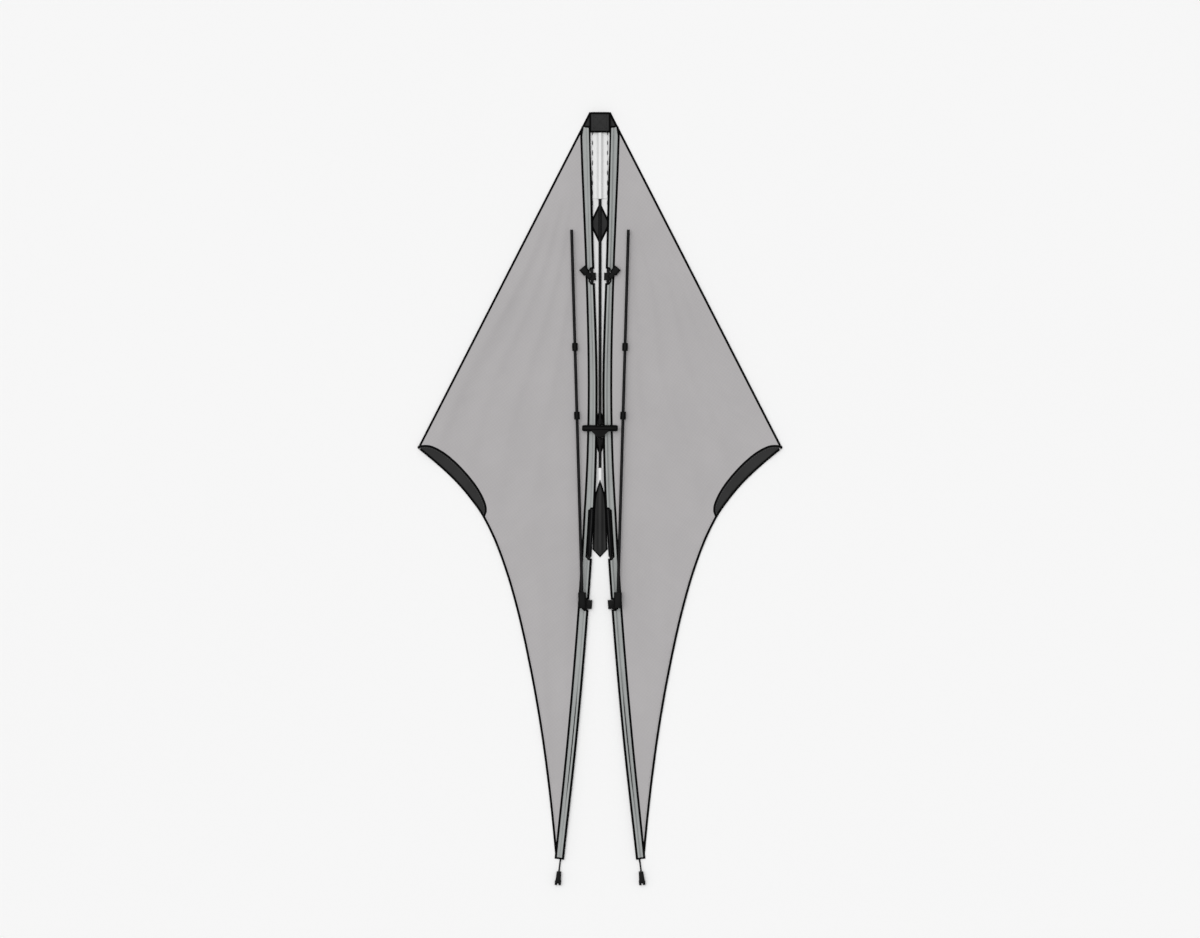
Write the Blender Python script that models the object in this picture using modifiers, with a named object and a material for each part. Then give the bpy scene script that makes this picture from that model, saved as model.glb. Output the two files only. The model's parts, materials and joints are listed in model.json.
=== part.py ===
"""Dual-line sport kite, folded flat.

Both leading edges lie along the spine, and the outer part of each sail is folded back over the inner part.
Units are metres, +Z is up, and the nose points to +Y. Each distance named DOWN is measured from the nose
towards the tail. A distance across is measured from the centre line, and wing pieces are modelled on the
right side and mirrored for the left.
"""

import math

import bmesh
import bpy
import numpy as np
from mathutils import Matrix, Vector

# Clearance between pieces that touch
GAP = 0.0003

# Folded outline: the fold line, and the knee of the trailing edge
FOLDED_LENGTH = 1.4924
CREASE_NOSE_ACROSS = 0.0210
CREASE_END_ACROSS = 0.3622
CREASE_END_DOWN = 0.6712
KNEE_ACROSS = 0.2320
KNEE_DOWN = 0.8062
# Handles of the sail's curves, as shares of the way across and down from a curve's start to its end
HEM_SHARES = ((0.207, 0.362), (0.707, 0.863))
UPPER_TRAILING_SHARES = ((0.374, 0.284), (0.785, 0.624))
LOWER_TRAILING_SHARES = ((0.700, 0.284), (0.939, 0.854))
CRESCENT_SHARES = ((-0.131, 0.342), (0.645, 1.142))
CRESCENT_TIP_ACROSS = 0.0012
CRESCENT_TIP_DOWN = 0.0018

# Cloth
CLOTH = 0.0005
TAPE_CLOTH = 0.0004
SEAM_LAP = 0.0040

# Carbon tubes
TUBE_RADIUS = 0.0030
SPINE_NOSE_DOWN = 0.0180
SPINE_LENGTH = 0.8500
TUBE_SET_BACK = 0.0020
UPPER_TUBE_LENGTH = 0.8115
LOWER_TUBE_LENGTH = 0.6280
SPREADER_LENGTH = 0.7435
FERRULE_LENGTH = 0.0940
FERRULE_WALL = 0.0010

# Centre strip and what is sewn to it
STRIP_HALF_WIDTH = 0.0197
WEBBING_LENGTH = 0.0398
WEBBING_HEIGHT = 0.0090
WEBBING_ROUNDING = 0.0012
NOSE_CORNER_LENGTH = 0.0280
NOSE_CORNER_SLANT = 0.0020
POCKET_CLOTH = 0.0005
NOSE_POCKET_HALF_WIDTH = 0.0152
NOSE_POCKET_END_DOWN = 0.1736
TAIL_POCKET_HALF_WIDTH = 0.0075
TAIL_POCKET_LENGTH = 0.0460
TAIL_PATCH_LENGTH = 0.1220
TAIL_PATCH_BELOW_SPINE = 0.0060
TAIL_PATCH_SHOULDER = 0.0100
TAIL_PATCH_MIDDLE = 0.0400
TAIL_PATCH_START_HALF_WIDTH = 0.0070
TAIL_PATCH_SHOULDER_HALF_WIDTH = 0.0090
TAIL_PATCH_MIDDLE_HALF_WIDTH = 0.0110
TAIL_PATCH_END_HALF_WIDTH = 0.0136
TAIL_POINT_LENGTH = 0.0148
TAIL_POINT_HALF_WIDTH = 0.0006
TAIL_POINT_FLATNESS = 0.1
UPPER_PATCH_BELOW_POCKET = 0.0098
UPPER_PATCH_LENGTH = 0.0780
UPPER_PATCH_HALF_WIDTH = 0.0240
CENTRE_PATCH_BELOW_T = 0.0038
CENTRE_PATCH_LENGTH = 0.0716
CENTRE_PATCH_WIDTH = 0.0172

# Centre T
T_ABOVE_SPINE_END = 0.2358
T_WIDTH = 0.0716
T_ARM_RADIUS = 0.0065
T_SOCKET_DEPTH = 0.0240
T_END_FLAT = 0.0049
T_HUB_LENGTH = 0.0252
T_HUB_HALF_WIDTH = 0.0049
T_HUB_WALL = 0.0014
T_HUB_SET_BACK = 0.0005
T_HUB_ROUNDING = 0.0008
T_GUSSET_HALF_WIDTH = 0.0168
T_GUSSET_END_HALF_WIDTH = 0.0059
T_GUSSET_END_FLARE = 0.0030
T_GUSSET_END_LENGTH = 0.0045
T_GUSSET_SET_IN = 0.0012
T_HOLE_MARGIN = 0.0013

# Leading edge: distance down from the nose, and distance across to the tube's axis
LEADING_EDGE = (
    (0.0283, 0.0238),
    (0.2500, 0.0188),
    (0.5600, 0.0103),
    (0.7500, 0.0138),
    (0.9500, 0.0254),
    (1.2300, 0.0487),
    (FOLDED_LENGTH, 0.0773),
)
# Leading edge sleeve: distance down from the nose, and distance from the tube's axis out to the seam
SLEEVE_SEAM = (
    (0.0283, 0.0108),
    (0.0470, 0.0142),
    (0.2950, 0.0106),
    (0.5600, 0.0106),
    (0.8000, 0.0148),
    (1.1100, 0.0142),
    (FOLDED_LENGTH, 0.0098),
)
SLEEVE_CLOTH = 0.0005
SLEEVE_STEPS = 48
SLEEVE_FOOT = 0.0014
SLEEVE_ARC_START = math.radians(20.0)
SLEEVE_ARC_END = math.radians(215.0)
SLEEVE_BASE_REACH = 0.0024
CUT_OUT_REACH = 0.0066
CUT_OUT_CORNER = 0.0025
FERRULE_CLEARANCE = 0.0030
OUTER_SAIL_SET_BACK = 0.0140

# Upper connector
UPPER_CONNECTOR_DOWN = 0.3290
UPPER_CLAMP_LENGTH = 0.0150
UPPER_CUT_OUT_LENGTH = 0.0312
UPPER_SOCKET_ANGLE = math.radians(50.0)
UPPER_SOCKET_REACH = 0.0194
UPPER_SOCKET_RISE = 0.0174
UPPER_SOCKET_LENGTH = 0.0145
UPPER_SOCKET_DEPTH = 0.0120
SOCKET_WIDTH = 0.0150
SOCKET_HEIGHT = 0.0120
SOCKET_ROUNDING = 0.0035
UPPER_NECK_LENGTH = 0.0120
UPPER_NECK_HALF_WIDTH = 0.0050
UPPER_NECK_SET_IN = 0.0006
UPPER_NECK_ROUNDING = 0.0015
CLAMP_OUTER = 0.0052
CLAMP_ROUNDING = 0.0022
UPPER_CLAMP_INNER = 0.0082

# Lower connector
LOWER_CONNECTOR_BELOW_JOINT = 0.1424
LOWER_CLAMP_LENGTH = 0.0180
LOWER_CUT_OUT_LENGTH = 0.0300
LOWER_CLAMP_INNER = 0.0095
PIVOT_REACH = 0.0074
PIVOT_PIN_RADIUS = 0.0020
PIVOT_PIN_HEIGHT = 0.0075
PIVOT_PLATE_RADIUS = 0.0055
PIVOT_PLATE = 0.0030
LOWER_SOCKET_WIDTH = 0.0158
LOWER_SOCKET_FRONT = 0.0236
LOWER_SOCKET_BACK = 0.0080
SPREADER_START = 0.0048
SPREADER_TILT = math.radians(1.65)

# Stand-off collars on each spreader
COLLAR_RADIUS = 0.0058
COLLAR_LENGTH = 0.0160
COLLAR_ROUNDING = 0.0010
COLLAR_PLACES = (("outer", 0.3767), ("inner", 0.5140))

# Bungee and arrow nock at each tip
CORD_RADIUS = 0.0014
NOCK_LENGTH = 0.0270
NOCK_HALF_WIDTH = 0.0045
NOCK_FORK_HALF_WIDTH = 0.0058
NOCK_HEIGHT = 0.0090
NOCK_SLOT_HALF_WIDTH = 0.0016
NOCK_SLOT_DEPTH = 0.0080
NOCK_FORK_ABOVE_SLOT = 0.0020
NOCK_FORK_FLARE = 0.0030
NOCK_HOLE_DEPTH = 0.0060
NOCK_TURN = math.radians(3.0)

# Working values
NOSE_Y = FOLDED_LENGTH / 2
BORE_RADIUS = TUBE_RADIUS + GAP
STRIP_BOTTOM = CLOTH + GAP
PATCH_BOTTOM = STRIP_BOTTOM + TAPE_CLOTH + GAP
PATCH_TOP = PATCH_BOTTOM + TAPE_CLOTH
OUTER_SAIL_TOP = PATCH_BOTTOM + CLOTH
FLANGE_BOTTOM = OUTER_SAIL_TOP + GAP
FLANGE_TOP = FLANGE_BOTTOM + SLEEVE_CLOTH
SPINE_HEIGHT = PATCH_TOP + GAP + TUBE_RADIUS
SLEEVE_RADIUS = BORE_RADIUS + SLEEVE_CLOTH
EDGE_TUBE_HEIGHT = FLANGE_TOP + SLEEVE_RADIUS
CLAMP_HALF_HEIGHT = EDGE_TUBE_HEIGHT - PATCH_BOTTOM
CLAMP_TOP = EDGE_TUBE_HEIGHT + CLAMP_HALF_HEIGHT
UPPER_SOCKET_HEIGHT = FLANGE_TOP + GAP + SOCKET_HEIGHT / 2
SPREADER_HEIGHT = UPPER_SOCKET_HEIGHT + SOCKET_HEIGHT / 2 + GAP + TUBE_RADIUS
LOWER_SOCKET_BOTTOM = CLAMP_TOP + GAP
LOWER_SOCKET_TALL = 2 * (SPREADER_HEIGHT - LOWER_SOCKET_BOTTOM)
FERRULE_RADIUS = BORE_RADIUS + FERRULE_WALL
SLEEVE_NOSE_DOWN = LEADING_EDGE[0][0]
TUBE_NOSE_DOWN = SLEEVE_NOSE_DOWN + TUBE_SET_BACK
TUBE_JOINT_DOWN = TUBE_NOSE_DOWN + UPPER_TUBE_LENGTH
LOWER_CONNECTOR_DOWN = TUBE_JOINT_DOWN + LOWER_CONNECTOR_BELOW_JOINT
SPINE_END_DOWN = SPINE_NOSE_DOWN + SPINE_LENGTH
T_DOWN = SPINE_END_DOWN - T_ABOVE_SPINE_END
UPPER_PATCH_DOWN = NOSE_POCKET_END_DOWN + UPPER_PATCH_BELOW_POCKET
CENTRE_PATCH_DOWN = T_DOWN + CENTRE_PATCH_BELOW_T
TAIL_PATCH_SIDE_DOWN = SPINE_END_DOWN + TAIL_PATCH_BELOW_SPINE
TAIL_PATCH_DOWN = TAIL_PATCH_SIDE_DOWN - TAIL_PATCH_LENGTH
TAIL_POCKET_DOWN = TAIL_PATCH_DOWN - TAIL_POCKET_LENGTH
TAIL_DOWN = TAIL_PATCH_SIDE_DOWN + TAIL_POINT_LENGTH
ROUND_SIDES = 24
POCKET_STEPS = 6
SLEEVE_ARC_STEPS = 8
AXIS_POINT_SPACING = 0.060
SLOPE_STEP = 0.001
BIG = 0.1
HIDDEN_OVERRUN = 0.05
EMPTY_SIZE = 0.02

# Ends of the sail's curves, as distance across and distance down
CREASE_END = (CREASE_END_ACROSS, CREASE_END_DOWN)
KNEE = (KNEE_ACROSS, KNEE_DOWN)


def along_crease(down):
    """Distance across to the fold line."""
    share = down / CREASE_END_DOWN
    return CREASE_NOSE_ACROSS + share * (CREASE_END_ACROSS - CREASE_NOSE_ACROSS)


def smooth(stations, down):
    """Value at a distance down, on a smooth curve through the stations."""
    places = [station[0] for station in stations]
    values = [station[1] for station in stations]
    slopes = np.gradient(values, places)
    i = int(np.clip(np.searchsorted(places, down) - 1, 0, len(places) - 2))
    span = places[i + 1] - places[i]
    t = (down - places[i]) / span
    start = (1 + 2 * t) * (1 - t) ** 2 * values[i] + t * (1 - t) ** 2 * span * slopes[i]
    end = t * t * (3 - 2 * t) * values[i + 1] + t * t * (t - 1) * span * slopes[i + 1]
    return float(start + end)


def edge_axis(down):
    """Distance across to the leading edge tube's axis."""
    return smooth(LEADING_EDGE, down)


def edge_turn(down):
    """Angle in plan of the leading edge tube, about +Z from straight down the page."""
    rise = edge_axis(down + SLOPE_STEP) - edge_axis(down - SLOPE_STEP)
    return math.atan(rise / (2 * SLOPE_STEP))


def seam_reach(down):
    """Distance from the tube's axis out to the sleeve's seam."""
    places = [station[0] for station in SLEEVE_SEAM]
    reaches = [station[1] for station in SLEEVE_SEAM]
    return float(np.interp(down, places, reaches))


def bezier(start, handle_1, handle_2, end, count):
    """Points on a cubic curve, both ends included."""
    points = []
    for i in range(count + 1):
        t = i / count
        weights = ((1 - t) ** 3, 3 * t * (1 - t) ** 2, 3 * t * t * (1 - t), t**3)
        along = zip(start, handle_1, handle_2, end)
        points.append(tuple(sum(w * v for w, v in zip(weights, values)) for values in along))
    return points


def sail_curve(start, end, shares, count):
    """Points on a curve of the sail, whose handles are shares of the way from its start to its end."""
    handles = [tuple(a + share * (b - a) for a, b, share in zip(start, end, pair)) for pair in shares]
    return bezier(start, *handles, end, count)


def on_page(across, down, height=0.0):
    return Vector((across, NOSE_Y - down, height))


def edge_frame(down, height=0.0):
    """Frame on the right leading edge: +X out to the seam, +Y along the tube towards the nose."""
    place = Matrix.Translation(on_page(edge_axis(down), down, height))
    return place @ Matrix.Rotation(edge_turn(down), 4, "Z")


def new_collection(name):
    made = bpy.data.collections.new(name)
    bpy.context.scene.collection.children.link(made)
    return made


def new_material(name, colour, roughness, metallic=0.0):
    made = bpy.data.materials.new(name)
    made.use_nodes = True
    shader = made.node_tree.nodes["Principled BSDF"]
    shader.inputs["Base Color"].default_value = (*colour, 1.0)
    shader.inputs["Roughness"].default_value = roughness
    shader.inputs["Metallic"].default_value = metallic
    made.diffuse_color = (*colour, 1.0)
    return made


def new_object(name, mesh, collection):
    made = bpy.data.objects.new(name, mesh)
    collection.objects.link(made)
    return made


def evaluated_mesh(thing):
    """The object's mesh in world space with its modifiers applied and its caps welded."""
    bpy.context.view_layer.update()
    depsgraph = bpy.context.evaluated_depsgraph_get()
    mesh = bpy.data.meshes.new_from_object(thing.evaluated_get(depsgraph))
    mesh.transform(thing.matrix_world)
    welded = bmesh.new()
    welded.from_mesh(mesh)
    bmesh.ops.remove_doubles(welded, verts=welded.verts, dist=0.00001)
    welded.to_mesh(mesh)
    welded.free()
    return mesh


def settle(thing):
    """Replaces an object by a plain mesh object of the same name."""
    name = thing.name
    mesh = evaluated_mesh(thing)
    old = thing.data
    bpy.data.objects.remove(thing)
    if isinstance(old, bpy.types.Curve):
        bpy.data.curves.remove(old)
    mesh.name = name
    return new_object(name, mesh, PARTS)


def flat_piece(name, outline, bottom, thickness, holes=()):
    """A flat sheet from an outline of (across, down) points, as a filled 2D curve."""
    curve = bpy.data.curves.new(name, "CURVE")
    curve.dimensions = "2D"
    curve.fill_mode = "BOTH"
    curve.extrude = thickness / 2
    for points in (outline, *holes):
        spline = curve.splines.new("POLY")
        spline.points.add(len(points) - 1)
        for point, (across, down) in zip(spline.points, points):
            point.co = (across, NOSE_Y - down, 0.0, 1.0)
        spline.use_cyclic_u = True
    made = new_object(name, curve, PARTS)
    made.location.z = bottom + thickness / 2
    return settle(made)


def round_bar(name, points, radius, sides=2):
    """A solid round bar through points, as a curve with filled caps. sides is its bevel resolution."""
    curve = bpy.data.curves.new(name, "CURVE")
    curve.dimensions = "3D"
    curve.bevel_depth = radius
    curve.bevel_resolution = sides
    curve.use_fill_caps = True
    spline = curve.splines.new("POLY")
    spline.points.add(len(points) - 1)
    for point, place in zip(spline.points, points):
        point.co = (*place, 1.0)
    return settle(new_object(name, curve, PARTS))


def loft(name, rings):
    """A closed solid through rings of points, which all have the same number of points."""
    skin = bmesh.new()
    rows = [[skin.verts.new(point) for point in ring] for ring in rings]
    count = len(rows[0])
    for row, following in zip(rows, rows[1:]):
        for i in range(count):
            j = (i + 1) % count
            skin.faces.new((row[i], row[j], following[j], following[i]))
    skin.faces.new(rows[0])
    skin.faces.new(rows[-1])
    bmesh.ops.recalc_face_normals(skin, faces=skin.faces)
    mesh = bpy.data.meshes.new(name)
    skin.to_mesh(mesh)
    skin.free()
    return new_object(name, mesh, PARTS)


def edge_run(edge):
    return edge.verts[0].co - edge.verts[1].co


def block(name, low, high, frame=None, round_edges=0.0, along=None):
    """A box between two corners in a frame. Its edges are rounded, or only those along one axis."""
    frame = frame or Matrix.Identity(4)
    shape = bmesh.new()
    bmesh.ops.create_cube(shape, size=1.0)
    size = [b - a for a, b in zip(low, high)]
    middle = [(a + b) / 2 for a, b in zip(low, high)]
    bmesh.ops.scale(shape, vec=size, verts=shape.verts)
    if round_edges:
        edges = shape.edges[:]
        if along is not None:
            edges = [edge for edge in edges if abs(edge_run(edge)[along]) > min(size) / 2]
        bmesh.ops.bevel(shape, geom=edges, offset=round_edges, segments=4, profile=0.5, affect="EDGES")
    bmesh.ops.translate(shape, vec=middle, verts=shape.verts)
    bmesh.ops.transform(shape, matrix=frame, verts=shape.verts)
    mesh = bpy.data.meshes.new(name)
    shape.to_mesh(mesh)
    shape.free()
    return new_object(name, mesh, PARTS)


def cylinder(name, start, end, radius):
    """A solid cylinder between two points."""
    start, end = Vector(start), Vector(end)
    run = end - start
    shape = bmesh.new()
    bmesh.ops.create_cone(
        shape, cap_ends=True, segments=ROUND_SIDES, radius1=radius, radius2=radius, depth=run.length
    )
    turn = Vector((0, 0, 1)).rotation_difference(run).to_matrix().to_4x4()
    bmesh.ops.transform(shape, matrix=Matrix.Translation((start + end) / 2) @ turn, verts=shape.verts)
    mesh = bpy.data.meshes.new(name)
    shape.to_mesh(mesh)
    shape.free()
    return new_object(name, mesh, PARTS)


def turned(name, profile, place):
    """A turned solid: a profile of (radius, height) run round the local Z axis by a Screw modifier."""
    mesh = bpy.data.meshes.new(name)
    vertices = [(radius, 0.0, height) for radius, height in profile]
    mesh.from_pydata(vertices, [(i, i + 1) for i in range(len(vertices) - 1)], [])
    made = new_object(name, mesh, PARTS)
    made.matrix_world = place
    screw = made.modifiers.new("Turn", "SCREW")
    screw.axis = "Z"
    screw.steps = ROUND_SIDES
    screw.render_steps = ROUND_SIDES
    screw.use_merge_vertices = True
    screw.merge_threshold = 0.00001
    return settle(made)


def combine(target, tool, operation):
    """Joins the tool to the target or cuts it away, and leaves the tool among the cutters."""
    PARTS.objects.unlink(tool)
    CUTTERS.objects.link(tool)
    tool.hide_render = True
    tool.display_type = "WIRE"
    change = target.modifiers.new(operation.title(), "BOOLEAN")
    change.operation = operation
    change.solver = "EXACT"
    change.object = tool
    return target


def join(target, tool):
    return combine(target, tool, "UNION")


def cut(target, tool):
    return combine(target, tool, "DIFFERENCE")


def finish(thing, material, parent=None, rounded=False):
    """Gives a settled object its material, its shading and its parent."""
    if thing.modifiers:
        thing = settle(thing)
    thing.data.materials.clear()
    thing.data.materials.append(material)
    if rounded:
        thing.data.shade_smooth()
        thing.data.set_sharp_from_angle(angle=math.radians(40))
    if parent is not None:
        thing.parent = parent
        thing.matrix_parent_inverse = parent.matrix_world.inverted()
    return thing


def mirrored(thing, name, parent):
    """A copy of a finished piece on the other side of the centre line, with its material."""
    mesh = evaluated_mesh(thing)
    mesh.name = name
    mesh.transform(Matrix.Scale(-1, 4, (1, 0, 0)))
    mesh.flip_normals()
    copy = new_object(name, mesh, PARTS)
    copy.parent = parent
    copy.matrix_parent_inverse = parent.matrix_world.inverted()
    return copy


def empty(name, place, parent=None):
    made = bpy.data.objects.new(name, None)
    made.empty_display_size = EMPTY_SIZE
    PARTS.objects.link(made)
    made.location = place
    if parent is not None:
        made.parent = parent
        made.location = Vector(place) - parent.matrix_world.translation
    bpy.context.view_layer.update()
    return made


# The T's hub passes through a hole in the sail, the strip and the centre patch
HOLE_HALF_WIDTH = T_HUB_HALF_WIDTH + T_HOLE_MARGIN
HOLE_NOSE_DOWN = T_DOWN - T_ARM_RADIUS - T_HOLE_MARGIN
HOLE_TAIL_DOWN = T_DOWN - T_ARM_RADIUS + T_HUB_LENGTH + T_HOLE_MARGIN
HUB_HOLE = (
    (-HOLE_HALF_WIDTH, HOLE_NOSE_DOWN),
    (HOLE_HALF_WIDTH, HOLE_NOSE_DOWN),
    (HOLE_HALF_WIDTH, HOLE_TAIL_DOWN),
    (-HOLE_HALF_WIDTH, HOLE_TAIL_DOWN),
)


def inner_sail():
    """Right half of the sail between the centre line and the fold."""
    middle = GAP / 2
    outline = [(middle, 0.0), (middle, HOLE_NOSE_DOWN)]
    outline += [HUB_HOLE[1], HUB_HOLE[2], (middle, HOLE_TAIL_DOWN)]
    outline += sail_curve((middle, TAIL_DOWN), CREASE_END, HEM_SHARES, 20)
    outline.append((CREASE_NOSE_ACROSS, 0.0))
    return flat_piece("inner_sail_right", outline, 0.0, CLOTH)


def centre_strip():
    """Light strip that runs down the middle of the sail."""
    side_down = TAIL_DOWN - STRIP_HALF_WIDTH - GAP
    outline = [
        (-STRIP_HALF_WIDTH, 0.0),
        (STRIP_HALF_WIDTH, 0.0),
        (STRIP_HALF_WIDTH, side_down),
        (0.0, TAIL_DOWN - GAP),
        (-STRIP_HALF_WIDTH, side_down),
    ]
    return flat_piece("centre_strip", outline, STRIP_BOTTOM, TAPE_CLOTH, [HUB_HOLE])


def nose_webbing():
    """Folded webbing that holds the spine's nose end."""
    webbing = block(
        "nose_webbing",
        (-STRIP_HALF_WIDTH, NOSE_Y - WEBBING_LENGTH, PATCH_BOTTOM),
        (STRIP_HALF_WIDTH, NOSE_Y, PATCH_BOTTOM + WEBBING_HEIGHT),
        round_edges=WEBBING_ROUNDING,
    )
    return cut(webbing, spine_bore(SPINE_NOSE_DOWN - GAP, WEBBING_LENGTH + BIG))


def nose_corner():
    """Reinforced corner of the sail beside the webbing."""
    inner = STRIP_HALF_WIDTH + GAP
    outer_end = NOSE_CORNER_LENGTH - NOSE_CORNER_SLANT
    outline = [
        (inner, 0.0),
        (CREASE_NOSE_ACROSS, 0.0),
        (along_crease(outer_end), outer_end),
        (inner, NOSE_CORNER_LENGTH),
    ]
    return flat_piece("nose_corner_right", outline, STRIP_BOTTOM, CLOTH)


def hump_ring(half_width, down, scale=1.0):
    """Section of cloth drawn over the spine: a flat hem, a rise over the tube and a flat hem.

    The scale flattens the section.
    """
    radius = BORE_RADIUS + POCKET_CLOTH
    hem = PATCH_BOTTOM + POCKET_CLOTH * scale
    ring = [(half_width, PATCH_BOTTOM), (half_width, hem)]
    for i in range(POCKET_STEPS + 1):
        turn = math.pi * i / POCKET_STEPS
        across = min(radius, half_width) * math.cos(turn)
        rise = (SPINE_HEIGHT - PATCH_BOTTOM) + radius * math.sin(turn)
        ring.append((across, PATCH_BOTTOM + rise * scale))
    ring += [(-half_width, hem), (-half_width, PATCH_BOTTOM)]
    return [on_page(across, down, height) for across, height in ring]


def spine_bore(start_down, end_down):
    """Cutter for the room that a piece leaves round the spine."""
    start = on_page(0, start_down, SPINE_HEIGHT)
    end = on_page(0, end_down, SPINE_HEIGHT)
    return cylinder("spine_bore", start, end, BORE_RADIUS)


def nose_pocket():
    """Part of the strip that is sewn down over the spine's nose end."""
    start = WEBBING_LENGTH + GAP
    rings = [hump_ring(NOSE_POCKET_HALF_WIDTH, down) for down in (start, NOSE_POCKET_END_DOWN)]
    return cut(loft("nose_pocket", rings), spine_bore(start - BIG, NOSE_POCKET_END_DOWN + BIG))


def tail_pocket():
    """Part of the strip that is sewn down over the spine, above the tail patch."""
    end = TAIL_PATCH_DOWN - GAP
    rings = [hump_ring(TAIL_POCKET_HALF_WIDTH, down) for down in (TAIL_POCKET_DOWN, end)]
    return cut(loft("tail_pocket", rings), spine_bore(TAIL_POCKET_DOWN - BIG, end + BIG))


def tail_patch():
    """Reinforcement that wraps the spine's tail end and comes to a point."""
    rings = [
        hump_ring(TAIL_PATCH_START_HALF_WIDTH, TAIL_PATCH_DOWN),
        hump_ring(TAIL_PATCH_SHOULDER_HALF_WIDTH, TAIL_PATCH_DOWN + TAIL_PATCH_SHOULDER),
        hump_ring(TAIL_PATCH_MIDDLE_HALF_WIDTH, TAIL_PATCH_DOWN + TAIL_PATCH_MIDDLE),
        hump_ring(TAIL_PATCH_END_HALF_WIDTH, TAIL_PATCH_SIDE_DOWN),
        hump_ring(TAIL_POINT_HALF_WIDTH, TAIL_DOWN - GAP, TAIL_POINT_FLATNESS),
    ]
    return cut(loft("tail_patch", rings), spine_bore(TAIL_PATCH_DOWN - BIG, SPINE_END_DOWN + GAP))


def spine_rod():
    ends = [on_page(0, down, SPINE_HEIGHT) for down in (SPINE_NOSE_DOWN, SPINE_END_DOWN)]
    return round_bar("spine_rod", ends, TUBE_RADIUS, 4)


def upper_patch():
    """Diamond of reinforcement where the upper spreader crosses the spine."""
    middle = UPPER_PATCH_DOWN + UPPER_PATCH_LENGTH / 2
    outline = [
        (0.0, UPPER_PATCH_DOWN),
        (UPPER_PATCH_HALF_WIDTH, middle),
        (0.0, UPPER_PATCH_DOWN + UPPER_PATCH_LENGTH),
        (-UPPER_PATCH_HALF_WIDTH, middle),
    ]
    return flat_piece("upper_patch", outline, PATCH_BOTTOM, TAPE_CLOTH)


def centre_patch():
    """Oval of reinforcement round the hole for the centre T."""
    count = 28
    outline = []
    for i in range(count):
        turn = 2 * math.pi * i / count
        across = CENTRE_PATCH_WIDTH / 2 * math.sin(turn)
        outline.append((across, CENTRE_PATCH_DOWN - CENTRE_PATCH_LENGTH / 2 * math.cos(turn)))
    return flat_piece("centre_patch", outline, PATCH_BOTTOM, TAPE_CLOTH, [HUB_HOLE])


def centre_t():
    """Centre T: two spreader sockets on one bar, on a hub that grips the spine."""
    half = T_WIDTH / 2
    profile = [(0.0, half)]
    start_turn = math.acos(T_END_FLAT / T_ARM_RADIUS)
    shoulder = half - T_ARM_RADIUS * math.sin(start_turn)
    for i in range(5):
        turn = start_turn * (1 - i / 4)
        profile.append((T_ARM_RADIUS * math.cos(turn), shoulder + T_ARM_RADIUS * math.sin(turn)))
    lower = [(radius, -height) for radius, height in reversed(profile)]
    place = Matrix.Translation(on_page(0, T_DOWN, SPREADER_HEIGHT)) @ Matrix.Rotation(math.pi / 2, 4, "Y")
    bar = turned("centre_t", profile + lower, place)
    hub_nose = T_DOWN - T_ARM_RADIUS
    hub_tail = hub_nose + T_HUB_LENGTH
    hub_bottom = SPINE_HEIGHT - BORE_RADIUS - T_HUB_WALL
    hub = block(
        "t_hub",
        (-T_HUB_HALF_WIDTH, NOSE_Y - hub_tail, hub_bottom),
        (T_HUB_HALF_WIDTH, NOSE_Y - hub_nose - T_HUB_SET_BACK, SPREADER_HEIGHT),
        round_edges=T_HUB_ROUNDING,
    )
    gusset_end = hub_tail - T_HUB_ROUNDING
    half_outline = [
        (T_GUSSET_HALF_WIDTH, T_DOWN),
        (T_GUSSET_HALF_WIDTH, T_DOWN + T_ARM_RADIUS),
        (T_GUSSET_END_HALF_WIDTH + T_GUSSET_END_FLARE, hub_tail - T_GUSSET_END_LENGTH),
        (T_GUSSET_END_HALF_WIDTH, gusset_end),
    ]
    outline = half_outline + [(-across, down) for across, down in reversed(half_outline)]
    thickness = 2 * (T_ARM_RADIUS - T_GUSSET_SET_IN)
    gusset = flat_piece("t_gusset", outline, SPREADER_HEIGHT - thickness / 2, thickness)
    socket_bottom = half - T_SOCKET_DEPTH
    bar = join(join(bar, hub), gusset)
    for side in (1, -1):
        start = on_page(side * socket_bottom, T_DOWN, SPREADER_HEIGHT)
        end = on_page(side * (half + BIG), T_DOWN, SPREADER_HEIGHT)
        bar = cut(bar, cylinder("t_socket_bore", start, end, BORE_RADIUS))
    return cut(bar, spine_bore(hub_nose - BIG, hub_tail + BIG))


def edge_points(start_down, end_down):
    """Evenly spaced points on the right leading edge tube's axis."""
    count = max(2, round((end_down - start_down) / AXIS_POINT_SPACING))
    places = [start_down + (end_down - start_down) * i / count for i in range(count + 1)]
    return [on_page(edge_axis(down), down, EDGE_TUBE_HEIGHT) for down in places]


def upper_tube():
    route = edge_points(TUBE_NOSE_DOWN, TUBE_JOINT_DOWN)
    return round_bar("upper_tube_right", route, TUBE_RADIUS, 4)


def lower_tube():
    start = TUBE_JOINT_DOWN + GAP
    return round_bar("lower_tube_right", edge_points(start, start + LOWER_TUBE_LENGTH), TUBE_RADIUS, 4)


def ferrule():
    """Outer sleeve that joins the two leading edge tubes."""
    start = TUBE_JOINT_DOWN - FERRULE_LENGTH / 2
    end = TUBE_JOINT_DOWN + FERRULE_LENGTH / 2
    tube = round_bar("ferrule_right", edge_points(start, end), FERRULE_RADIUS, 4)
    route = edge_points(start - FERRULE_LENGTH / 2, end + FERRULE_LENGTH / 2)
    return cut(tube, round_bar("ferrule_bore", route, BORE_RADIUS, 4))


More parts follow.
